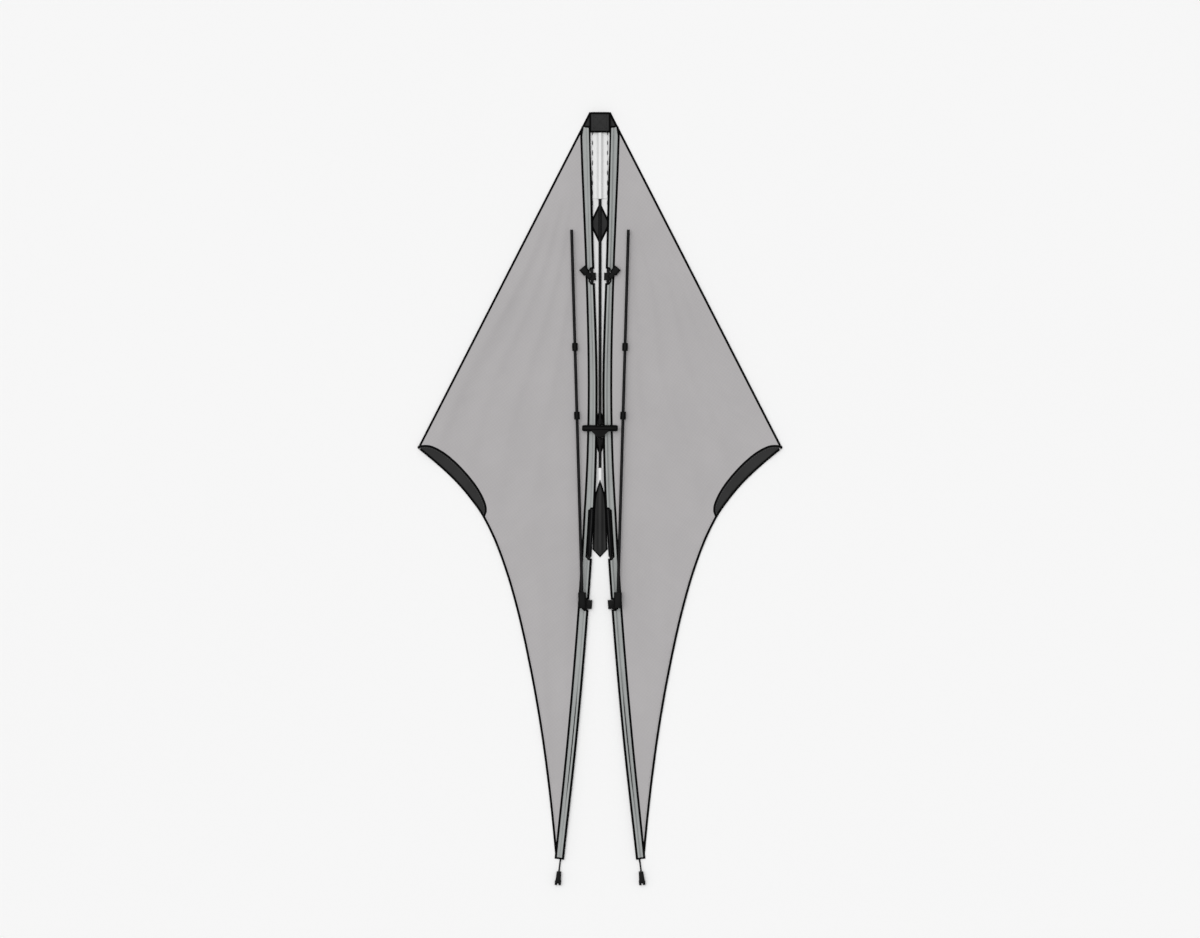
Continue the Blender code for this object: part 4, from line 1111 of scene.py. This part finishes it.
def sleeve_grid(side):
    """Points of the sleeve's outer face, station by station, with small puckers."""
    seed = 9.0 + SIDES[side]
    columns = []
    for column, (out, height) in enumerate(SECTION):
        downs = column_downs(out)
        place, aside = edge_frame(downs)
        to_seam = read_off(SLEEVE_SEAM, downs) - FOLD_OVER
        if out is None:
            out = FOLD_OVER + to_seam * (SEAM_SHARES[column] if column < TAPE_EDGE else 1.0)
        elif column == TAPE_EDGE:
            out = np.minimum(out, FOLD_OVER + to_seam * 0.4)
        elif COVER_START <= column < COVER_END:
            turn = math.degrees(COVER[column - COVER_START])
            lean = ((turn - 90) / 90) ** 2 if turn < 180 else 1.0 - (turn - 180) / 32
            grown = 1.0 + crease_reach(downs) * lean / SLEEVE_RADIUS * (turn > 90)
            out, height = out * grown, AXIS_LEVEL + (height - AXIS_LEVEL) * grown
        spots = place + aside * np.reshape(out, (-1, 1))
        lift = PUCKERS if 0 < column < COVER_END else 0.0
        puckers = np.array([noise.noise(Vector((y * 60, column * 0.35, seed))) for y in spots[:, 1]])
        columns.append(np.column_stack([spots, height + lift * puckers]))
    return np.stack(columns, axis=1)


def sleeve_masks():
    """Which faces of the sleeve's grid belong to its cloth, and which to its black tape. Tape at the ends and
    beside the openings is binding; the band over the cover's inner side is painted shade.
    """
    between = (STATIONS[1:, None] + STATIONS[:-1, None]) / 2
    column = np.arange(len(SECTION) - 1)[None, :]
    at_ends = (between < STATIONS[0] + TAPE_REACH) | (between > STATIONS[-1] - TAPE_REACH)
    away = np.stack([np.abs(between - middle) - length / 2 for middle, length, _ in OPENINGS])
    opened = (away < 0).any(axis=0)
    near = ((away > 0) & (away < TAPE_REACH)).any(axis=0)
    cloth = ~(opened & (column > TAPE_EDGE) & (column < len(SECTION) - 2))
    # Tape at the ends and beside the openings is binding; the tape over the cover's inner side, at every
    # station, is painted shade.
    taped = (column < COVER_END) & (at_ends | ((column >= TAPE_EDGE) & near) | (column >= SHADE_BAND_START))
    return cloth, cloth & (taped | ((column == TAPE_EDGE) & opened))


def grid_piece(name, grid, mask, finish, side):
    """The faces that a mask picks from a grid of points."""
    columns = grid.shape[1]
    corners = [row * columns + column for row, column in np.argwhere(mask)]
    faces = [(corner, corner + 1, corner + 1 + columns, corner + columns) for corner in corners]
    made = piece(name, grid.reshape(-1, 3), faces, finish, side)
    shape = shape_of(made.data)
    bmesh.ops.delete(shape, geom=[vertex for vertex in shape.verts if not vertex.link_faces], context="VERTS")
    put_back(shape, made.data)
    return made


# Section of the tape that joins sleeve and sail: distance out from the seam, and height over the flange
SEAM_TAPE = (
    (-0.0023, 0.00044),
    (-0.0023, 0.00066),
    (-0.0002, 0.00068),
    (0.0003, 0.00040),
    (0.0006, -0.00010),
    (0.0021, -0.00018),
    (0.0021, -0.00038),
    (0.0001, -0.00036),
    (0.0001, 0.00044),
)
SEAM_STITCHES_BACK = 0.0030


def sleeve(side):
    """Leading edge sleeve, its black edge tape (binding at the ends and openings, and a band of painted shade
    along the cover's inner side) and the tape on its seam.
    """
    grid = sleeve_grid(side)
    cloth, taped = sleeve_masks()
    made = grid_piece("edge_sleeve", grid, cloth, SLEEVE, side)
    area = area_of(made)
    fixed(thicken(made, SLEEVE_THICK, -1.0), f"wing_{side}", f"leading_edge_sleeve_{side}")
    edges = thicken(grid_piece("sleeve_tape", grid, taped, BINDING, side), TAPE_THICK, 1.0)
    place, aside = edge_frame(STATIONS)
    reach = read_off(SLEEVE_SEAM, STATIONS)[:, None]
    columns = [raised(place + aside * (reach + away), FLANGE_LOW + height) for away, height in SEAM_TAPE]
    seam_tape = lofted("seam_tape", np.stack(columns, axis=1), BINDING, side)
    row = raised(place + aside * (reach - SEAM_STITCHES_BACK), FLANGE_HIGH + 0.0001)[3:-2]
    thread = sewn("sleeve_stitches", [row], SAIL_THREAD, side)
    return made, area, [fixed(sewn_on, f"wing_{side}") for sewn_on in (edges, seam_tape, thread)]


# Middle of the kite

# Columns in a cloth that is drawn over the spine, and where the tail patch's upper point is
SPINE_CLOTH_COLUMNS = 33
TAIL_PATCH_APEX = NOSE_Y - 0.7354


def flat_cloth(name, node, loops, level, thick, finish, step):
    """A sewn-on piece of cloth that lies on a surface."""
    places, faces = filled(loops, step)
    made = piece(name, raised(places, level(places)), faces, finish)
    return fixed(thicken(made, thick), "root", node)


def centre_strip():
    step = 0.005
    loops = [around(loop, step) for loop in top_loops("centre_strip")]

    def level(places):
        return STRIP_LEVEL + rough(places, 0.03, 4.0) * 0.00008

    flat_cloth("centre_tape", "centre_strip", loops, level, SAIL_THICK, STRIP, step)


def over_spine(ys, widths, falls, hem, crown, flank, crumple):
    """Points of cloth drawn over the spine, row by row: flat hems, and a crown that falls away over a flank.

    A row's fall is its share of the crown. A crumple is a height, waves across and along, and a seed.
    """
    lift, across_waves, along_waves, seed = crumple
    points = []
    for y, width, fall in zip(ys, widths, falls):
        for share in np.linspace(-1, 1, SPINE_CLOTH_COLUMNS):
            across = width * share
            rise = (crown - hem) / (1.0 + (abs(across) / flank) ** 4) * fall
            crumpled = lift * noise.noise(Vector((across * across_waves, y * along_waves, seed)))
            points.append((across, y, hem + rise + crumpled))
    return points


def rod_pocket(node, seed, set_back=0.0):
    """Light cloth sewn down over an end of the spine."""
    low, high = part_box(node)
    rows = max(24, int((high.y - low.y) / 0.002))
    ys = np.linspace(high.y - set_back, low.y, rows)
    crumple = (0.00018, 60, 90, seed)
    hem, crown = PATCH_LOW + 0.0004, SPINE_HIGH + 0.0006
    points = over_spine(ys, [high.x] * rows, [1.0] * rows, hem, crown, 0.0046, crumple)
    faces = [face[::-1] for face in strip_faces(rows, SPINE_CLOTH_COLUMNS)]
    fixed(thicken(piece(node + "_cloth", points, faces, STRIP), POCKET_THICK, -1.0), "root", node)


def nose_pocket_stitches():
    """Bold bar stitches down both sides of the nose pocket."""
    low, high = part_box("nose_pocket")
    ys = np.linspace(high.y - 0.0015, low.y - 0.0080, 16)
    rows = [[(across, y, PATCH_LOW + 0.00085) for y in ys] for across in (-0.0148, 0.0148)]
    fixed(sewn("nose_pocket_stitches", rows, GREY_THREAD, pitch=0.0194, length=0.0104, radius=0.0011), "root")


def tail_patch(rows=90):
    """Dark patch that wraps the spine's tail end, with a point at both ends and a black border."""
    low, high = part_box("tail_patch")
    end, widest = low.y - 0.0014, low.y + 0.0142
    # Distance down from the upper point, and half width
    outline = [(0.0, 0.0002), (0.0160, 0.0056), (0.0290, 0.0097), (0.0400, 0.0114), (0.0620, 0.0129)]
    outline += [(TAIL_PATCH_APEX - widest, high.x + 0.0014), (TAIL_PATCH_APEX - end, 0.0004)]
    ys = np.linspace(TAIL_PATCH_APEX, end, rows)
    widths, falls = read_off(outline, TAIL_PATCH_APEX - ys), smoothstep((ys - end) / 0.020)
    hem, crown = PATCH_LOW + 0.0003, SPINE_HIGH + 0.0011
    points = over_spine(ys, widths, falls, hem, crown, 0.0048, (0.00015, 70, 80, 3.0))
    made = faced_up(piece("tail_patch_cloth", points, strip_faces(rows, SPINE_CLOTH_COLUMNS), PATCH))
    fixed(thicken(made, DOUBLED_PATCH_THICK, -1.0), "root", "tail_patch")
    border_width, least_width = 0.0034, 0.0008
    columns = np.array((0.0, 0.3, 0.6, 1.0)) * border_width
    edges = []
    for row in np.array(points).reshape(rows, -1, 3):
        width = max(row[-1, 0], least_width)
        reach = width - np.minimum(columns, width)
        heights = np.interp(reach, row[:, 0], row[:, 2]) + TAPE_THICK
        edges += [(-across, row[0, 1], height) for across, height in zip(reach, heights)]
        edges += [(across, row[0, 1], height) for across, height in zip(reach[::-1], heights[::-1])]
    across_middle, wide = len(columns) - 1, 2 * len(columns)
    faces = [face for face in strip_faces(rows, wide) if face[0] % wide != across_middle]
    border = faced_up(piece("tail_patch_border", edges, faces, BINDING))
    fixed(thicken(border, TAPE_THICK, 1.0), "root")


def patch_level(places):
    return (PATCH_LOW + PATCH_HIGH) / 2 + rough(places, 0.02, 8.0) * 0.00004


def patch_foot(places):
    return patch_level(places) - PATCH_THICK / 2


def bound_patch(node, grown, lowered, border_width, step=PATCH_STEP, line=subdivided):
    """A dark patch with a black taped edge, its outline grown across and along and moved to the tail."""
    outline, *holes = top_loops(node)
    middle = (outline.max(0) + outline.min(0)) / 2
    rim = around(middle + (outline - middle) * grown - (0.0, lowered), step, line)
    rims = [rim] + [around(hole - np.sign(hole - hole.mean(0)) * 0.0008, step) for hole in holes]
    flat_cloth(node + "_cloth", node, rims, patch_level, PATCH_THICK, PATCH, step)
    thick = PATCH_THICK + TAPE_THICK
    fixed(tape(node + "_border", rim, -border_width, 0.0006, patch_foot, thick, closed=True), "root")


def nose_corner(side):
    """Dark cloth corner between nose and leading edge, its lower end drawn out."""
    outline = top_loops("nose_corner_right")[0]
    lower = outline[:, 1] < outline[:, 1].max() - 0.01
    outline[lower] += (outline[lower] - (outline[lower][:, 0].mean(), NOSE_Y)) * (0.0, 0.14)
    outline[lower, 0] += np.where(outline[lower, 0] > 0.03, 0.0018, 0.0)
    places, faces = filled([around(outline, 0.003)], 0.003)
    level = sum(levels("nose_corner_right")) / 2 + 0.0004
    made = piece("nose_corner_cloth", raised(places, level), faces, PATCH, side)
    fixed(thicken(made, DOUBLED_PATCH_THICK), "root", f"nose_corner_{side}")


WEBBING_COLUMNS = 27
WEBBING_SAG = 0.0007
WEBBING_EDGE_FALL = 0.10
WEBBING_HEM = 0.0062


def nose_webbing():
    """Webbing folded over the nose: three layers whose front edge is one round fold."""
    low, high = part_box("nose_webbing")
    depth, middle = (high.z - low.z) / 2, (high.z + low.z) / 2
    turns = np.radians(np.linspace(-90, 90, 13))
    profile = [(high.y - depth + depth * math.cos(turn), middle + depth * math.sin(turn)) for turn in turns]
    profile += [(y, high.z) for y in np.linspace(high.y - depth, low.y + 0.0022, 9)[1:]]
    profile += [(low.y + 0.0006, high.z - 0.0005), (low.y, high.z - 0.0016)]
    profile += [(low.y, middle + 0.0012), (low.y + 0.0012, middle + 0.0009), (low.y, middle + 0.0006)]
    profile += [(low.y, low.z + 0.0012), (low.y + 0.0006, low.z)]
    rings = []
    for share in np.linspace(-1, 1, WEBBING_COLUMNS):
        across, edge, ring = share * high.x, abs(share) ** 12, []
        for y, z in profile:
            rise = (z - middle) * (1 - WEBBING_EDGE_FALL * edge) - WEBBING_SAG * share * share * (z > middle)
            wave = 0.00012 * noise.noise(Vector((across * 120, y * 120, z * 300)))
            drawn_in = 0.0008 * edge * (1 if y > low.y + 0.01 else -0.3)
            ring.append((across, y - drawn_in, middle + rise + wave))
        rings.append(ring)
    fixed(lofted("nose_webbing_cloth", rings, WEBBING), "root", "nose_webbing")

    def top(places):
        share = np.clip(np.abs(places[:, 0]) / high.x, 0.0, 1.0)
        fall = np.clip(places[:, 1] - (high.y - depth), 0.0, depth * 0.97)
        round_front = depth - np.sqrt(depth**2 - fall**2)
        return high.z - WEBBING_SAG * share**2 - depth * WEBBING_EDGE_FALL * share**12 - round_front

    wide, front, back = high.x + 0.0012, high.y - 0.0012, low.y - 0.0013
    outline = around(np.array([(-wide, front), (wide, front), (wide, back), (-wide, back)]), 0.0025)
    fixed(tape("nose_webbing_border", outline, -0.0001, 0.0035, top, 0.0003, closed=True), "root")
    wide, front, back = high.x - WEBBING_HEM, high.y - depth - WEBBING_HEM * 0.3, low.y + WEBBING_HEM
    box = [(-wide, front), (wide, front), (wide, back), (-wide, back), (-wide, front), (wide, back)]
    rows = [subdivided(np.array(path), PATCH_STEP) for path in (box, [(-wide, back), (wide, front)])]
    rows = [raised(row, high.z + THREAD_RADIUS - WEBBING_SAG * (row[:, 0] / high.x) ** 2) for row in rows]
    fixed(sewn("nose_webbing_stitches", rows, BLACK_THREAD, radius=0.0004), "root")


# Rods, fittings and bungees

SHARP_ANGLE = math.radians(38)
ROD_BORE = 0.0019
ROD_BORE_DEPTH = 0.012
ROD_END_EASE = 0.0003
ROD_SIDES = 32


def refined(node, finish, bevel=0.0, angle=32.0):
    """The node's own shape with its flat faces joined and its edges rounded."""
    shape = shape_of(frame["nodes"][node].data, weld=True)
    flat = math.radians(1.0)
    bmesh.ops.dissolve_limit(
        shape, angle_limit=flat, use_dissolve_boundaries=False, verts=shape.verts, edges=shape.edges
    )
    mesh = bpy.data.meshes.new(node + "_moulding")
    put_back(shape, mesh)
    mesh.materials.clear()
    mesh.materials.append(finish.material)
    made = put(mesh.name, mesh)
    if bevel:
        rounding = made.modifiers.new("Edges", "BEVEL")
        rounding.width = bevel
        rounding.segments = 3
        rounding.limit_method = "ANGLE"
        rounding.angle_limit = math.radians(angle)
        rounding.use_clamp_overlap = True
    settled(made)
    made.data.shade_smooth()
    made.data.set_sharp_from_angle(angle=SHARP_ANGLE)
    return fixed(made, frame["nodes"][node]["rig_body"], node)


def round_arms(made):
    """Rounds the ends of the centre T's arms down to the rims of their sockets."""
    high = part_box("centre_t")[1]
    arm, lip = 0.0065, 0.0036
    axis = Vector((0, high.y - arm, high.z - arm))
    for vertex in made.data.vertices:
        away = vertex.co - axis
        along = (abs(away.x) - high.x + arm) / arm
        away.x = 0.0
        if along > 0 and away.length > lip:
            reach = lip + (arm - lip) * math.sqrt(max(0.0, 1.0 - along**2))
            vertex.co += away * (min(1.0, reach / away.length) - 1.0)


def reshaped(made, side, move):
    """Moves a fitting's points by a rule on their distances across and down."""
    sign = SIDES[side]
    for vertex in made.data.vertices:
        across, down = move(vertex.co.x * sign, NOSE_Y - vertex.co.y)
        vertex.co.x, vertex.co.y = across * sign, NOSE_Y - down
    return made


# Lower clamp's tab: how much longer, and where it starts and ends to be so, inward of the tube's axis
TAB_LONGER = 0.0024
TAB_ROOT, TAB_END = 0.0045, 0.0080


def longer_tab(across, down):
    """The lower clamp's tab reaches further in past the sleeve's fold."""
    inward_of_tube = float(axis_across(down)) - across
    return across - TAB_LONGER * float(grows(inward_of_tube, TAB_ROOT, TAB_END - TAB_ROOT)), down


# Tip nock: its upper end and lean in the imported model, how far it is moved out at that end and per length
# below it, the notch in the model and the share of its depth that is left, and the width along the nock
NOCK_ACROSS, NOCK_DOWN, NOCK_LENGTH = 0.0812, 1.5184, 0.0270
NOCK_SLOPE = math.tan(math.radians(3.0))
NOCK_OUT, NOCK_LEAN = 0.0007, 0.046
NOTCH_HALF_WIDTH, NOTCH_START, NOTCH_SHARE = 0.0024, 0.0175, 0.4
NOCK_WIDTHS = ((0.0, 0.98), (0.0170, 1.22), (0.0215, 1.05))


def fuller_nock(across, down):
    """A wider nock with a shallow notch, leaning further out."""
    along = down - NOCK_DOWN
    aside = across - NOCK_ACROSS - along * NOCK_SLOPE
    if abs(aside) < NOTCH_HALF_WIDTH and along > NOTCH_START:
        along = NOCK_LENGTH - (NOCK_LENGTH - along) * NOTCH_SHARE
    moved = NOCK_ACROSS + NOCK_OUT + along * (NOCK_SLOPE + NOCK_LEAN)
    return moved + aside * float(read_off(NOCK_WIDTHS, along)), NOCK_DOWN + along


def rod(name, node):
    """A hollow tube in place of a straight rod's node, with its ends eased."""
    points = np.array([vertex.co for vertex in frame["nodes"][node].data.vertices])
    ys = points[:, 1]
    ends = (points[ys < ys.min() + 0.002], points[ys > ys.max() - 0.002])
    start, end = (Vector((cut.min(0) + cut.max(0)) / 2) for cut in ends)
    length = (end - start).length
    eased = ROD_RADIUS - ROD_END_EASE
    profile = [(ROD_BORE_DEPTH, ROD_BORE), (0.0, ROD_BORE), (0.0, eased), (ROD_END_EASE, ROD_RADIUS)]
    profile += [(length / 2, ROD_RADIUS)] + [(length - along, away) for along, away in reversed(profile)]
    turn = Vector((0, 0, 1)).rotation_difference(end - start).to_matrix()
    turns = [2 * math.pi * i / ROD_SIDES for i in range(ROD_SIDES)]
    rings = []
    for along, away in profile:
        rings.append([start + turn @ Vector((away * math.cos(a), away * math.sin(a), along)) for a in turns])
    made = lofted(name, rings, CARBON)
    made.data.set_sharp_from_angle(angle=SHARP_ANGLE)
    fixed(made, frame["nodes"][node]["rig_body"], node)


# Route of the right bungee: across, down, height
CORD_ROUTE = (
    (0.0761, 1.4800, 0.0050),
    (0.0790, 1.4950, 0.0050),
    (0.0806, 1.5060, 0.0047),
    (0.0817, 1.5150, 0.0045),
    (0.0825, 1.5230, 0.0045),
)
CORD_RADIUS = 0.0016
CORD_SIDES = 24
CORD_STEP = 0.0006
BRAID_PITCH = 0.0042
BRAID_DEPTH = 0.06


def bungee(side):
    """Braided bungee from the sleeve's mouth to the nock."""
    route = np.array([(SIDES[side] * across, NOSE_Y - down, height) for across, down, height in CORD_ROUTE])
    path = smoothed(route, CORD_STEP)
    travelled = np.concatenate([[0], np.cumsum(np.linalg.norm(np.diff(path, axis=0), axis=1))])
    turns = [2 * math.pi * i / CORD_SIDES for i in range(CORD_SIDES)]
    rings = []
    for place, ahead, along in zip(path, along_of(path), travelled):
        aside = np.cross(ahead, (0, 0, 1))
        aside = aside / np.linalg.norm(aside)
        above = np.cross(aside, ahead)
        twist = along * 2 * math.pi / BRAID_PITCH
        ring = []
        for turn in turns:
            relief = 1.0 - BRAID_DEPTH + BRAID_DEPTH * math.cos(4 * turn + twist) * math.cos(4 * turn - twist)
            ring.append(place + CORD_RADIUS * relief * (math.cos(turn) * aside + math.sin(turn) * above))
        rings.append(ring)
    made = lofted(f"bungee_{side}", rings, BUNGEE)
    add_cloth_map(made, [(i / CORD_SIDES, along) for along in travelled for i in range(CORD_SIDES)])
    fixed(made, f"wing_{side}", f"tip_cord_{side}")


# Stage: half the floor's width, and each light's direction, spread in degrees and strength
FLOOR_REACH = 20.0
FLOOR_LEVEL = -0.0001
SKY_STRENGTH = 0.36
LIGHTS = {
    "overhead softbox": ((0.05, -0.05, -1.0), 38.0, 1.45),
    "side softbox": ((0.45, -0.30, -1.0), 45.0, 0.50),
}


def stage():
    """Pale floor, soft light from two sides, and the camera straight above."""
    mesh = bpy.data.meshes.new("studio_floor")
    corners = [(x * FLOOR_REACH, y * FLOOR_REACH, 0) for x, y in ((-1, -1), (1, -1), (1, 1), (-1, 1))]
    mesh.from_pydata(corners, [], [(0, 1, 2, 3)])
    mesh.materials.append(studio_floor("pale floor").material)
    floor = put("studio_floor", mesh)
    floor.location.z = FLOOR_LEVEL
    scene = bpy.context.scene
    scene.world = bpy.data.worlds.new("studio")
    scene.world.use_nodes = True
    sky = scene.world.node_tree.nodes["Background"]
    sky.inputs["Color"].default_value = (1.0, 1.0, 1.0, 1.0)
    sky.inputs["Strength"].default_value = SKY_STRENGTH
    for name, (toward, spread, strength) in LIGHTS.items():
        light = bpy.data.lights.new(name, "SUN")
        light.angle = math.radians(spread)
        light.energy = strength
        put(name, light).rotation_euler = Vector(toward).to_track_quat("-Z", "Y").to_euler()
    camera = bpy.data.cameras.new("camera")
    camera.lens = LENS
    camera.sensor_width = SENSOR
    camera.clip_end = 200.0
    scene.camera = put("camera", camera)
    scene.camera.location = (*VIEW_MIDDLE, PHOTO_WIDE * METRES_PER_PIXEL * LENS / SENSOR)
    scene.view_settings.view_transform = "Standard"


stage()
for side in SIDES:
    nock = reshaped(refined(f"tip_nock_{side}", FITTING, 0.0010), side, fuller_nock)
    bungee(side)
    cloth, area = sail(side)
    trim = trailing_binding(side) + fold_shade_tape(side) + crescent(side)
    hem_binding(side)
    under = [f"hem_binding_{side}"]
    cloth, area, trim = sleeve(side)
    area, under = min(area, SLEEVE_AREA), [f"upper_tube_{side}"]
    nose_corner(side)
    reshaped(refined(f"lower_clamp_{side}", FITTING, 0.0005), side, longer_tab)
    refined(f"upper_connector_{side}", FITTING, 0.0005)
    refined(f"spreader_socket_{side}", FITTING, 0.0005)
    refined(f"inner_collar_{side}", FITTING, 0.0003)
    refined(f"outer_collar_{side}", FITTING, 0.0003)
    refined(f"ferrule_{side}", CARBON, 0.0002, angle=50.0)
    rod(f"spreader_rod_{side}", f"lower_spreader_{side}")
    refined(f"upper_tube_{side}", CARBON)
    refined(f"lower_tube_{side}", CARBON)

rod("spine_tube", "spine_rod")
round_arms(refined("centre_t", FITTING, 0.0005))
centre_strip()
rod_pocket("nose_pocket", 2.0)
nose_pocket_stitches()
rod_pocket("tail_pocket", 6.0, set_back=0.0056)
tail_patch()
nose_webbing()
bound_patch("upper_patch", (0.84, 1.065), 0.0006, 0.0036)
bound_patch("centre_patch", (0.94, 1.17), 0.0044, 0.0026, 0.003, smoothed)
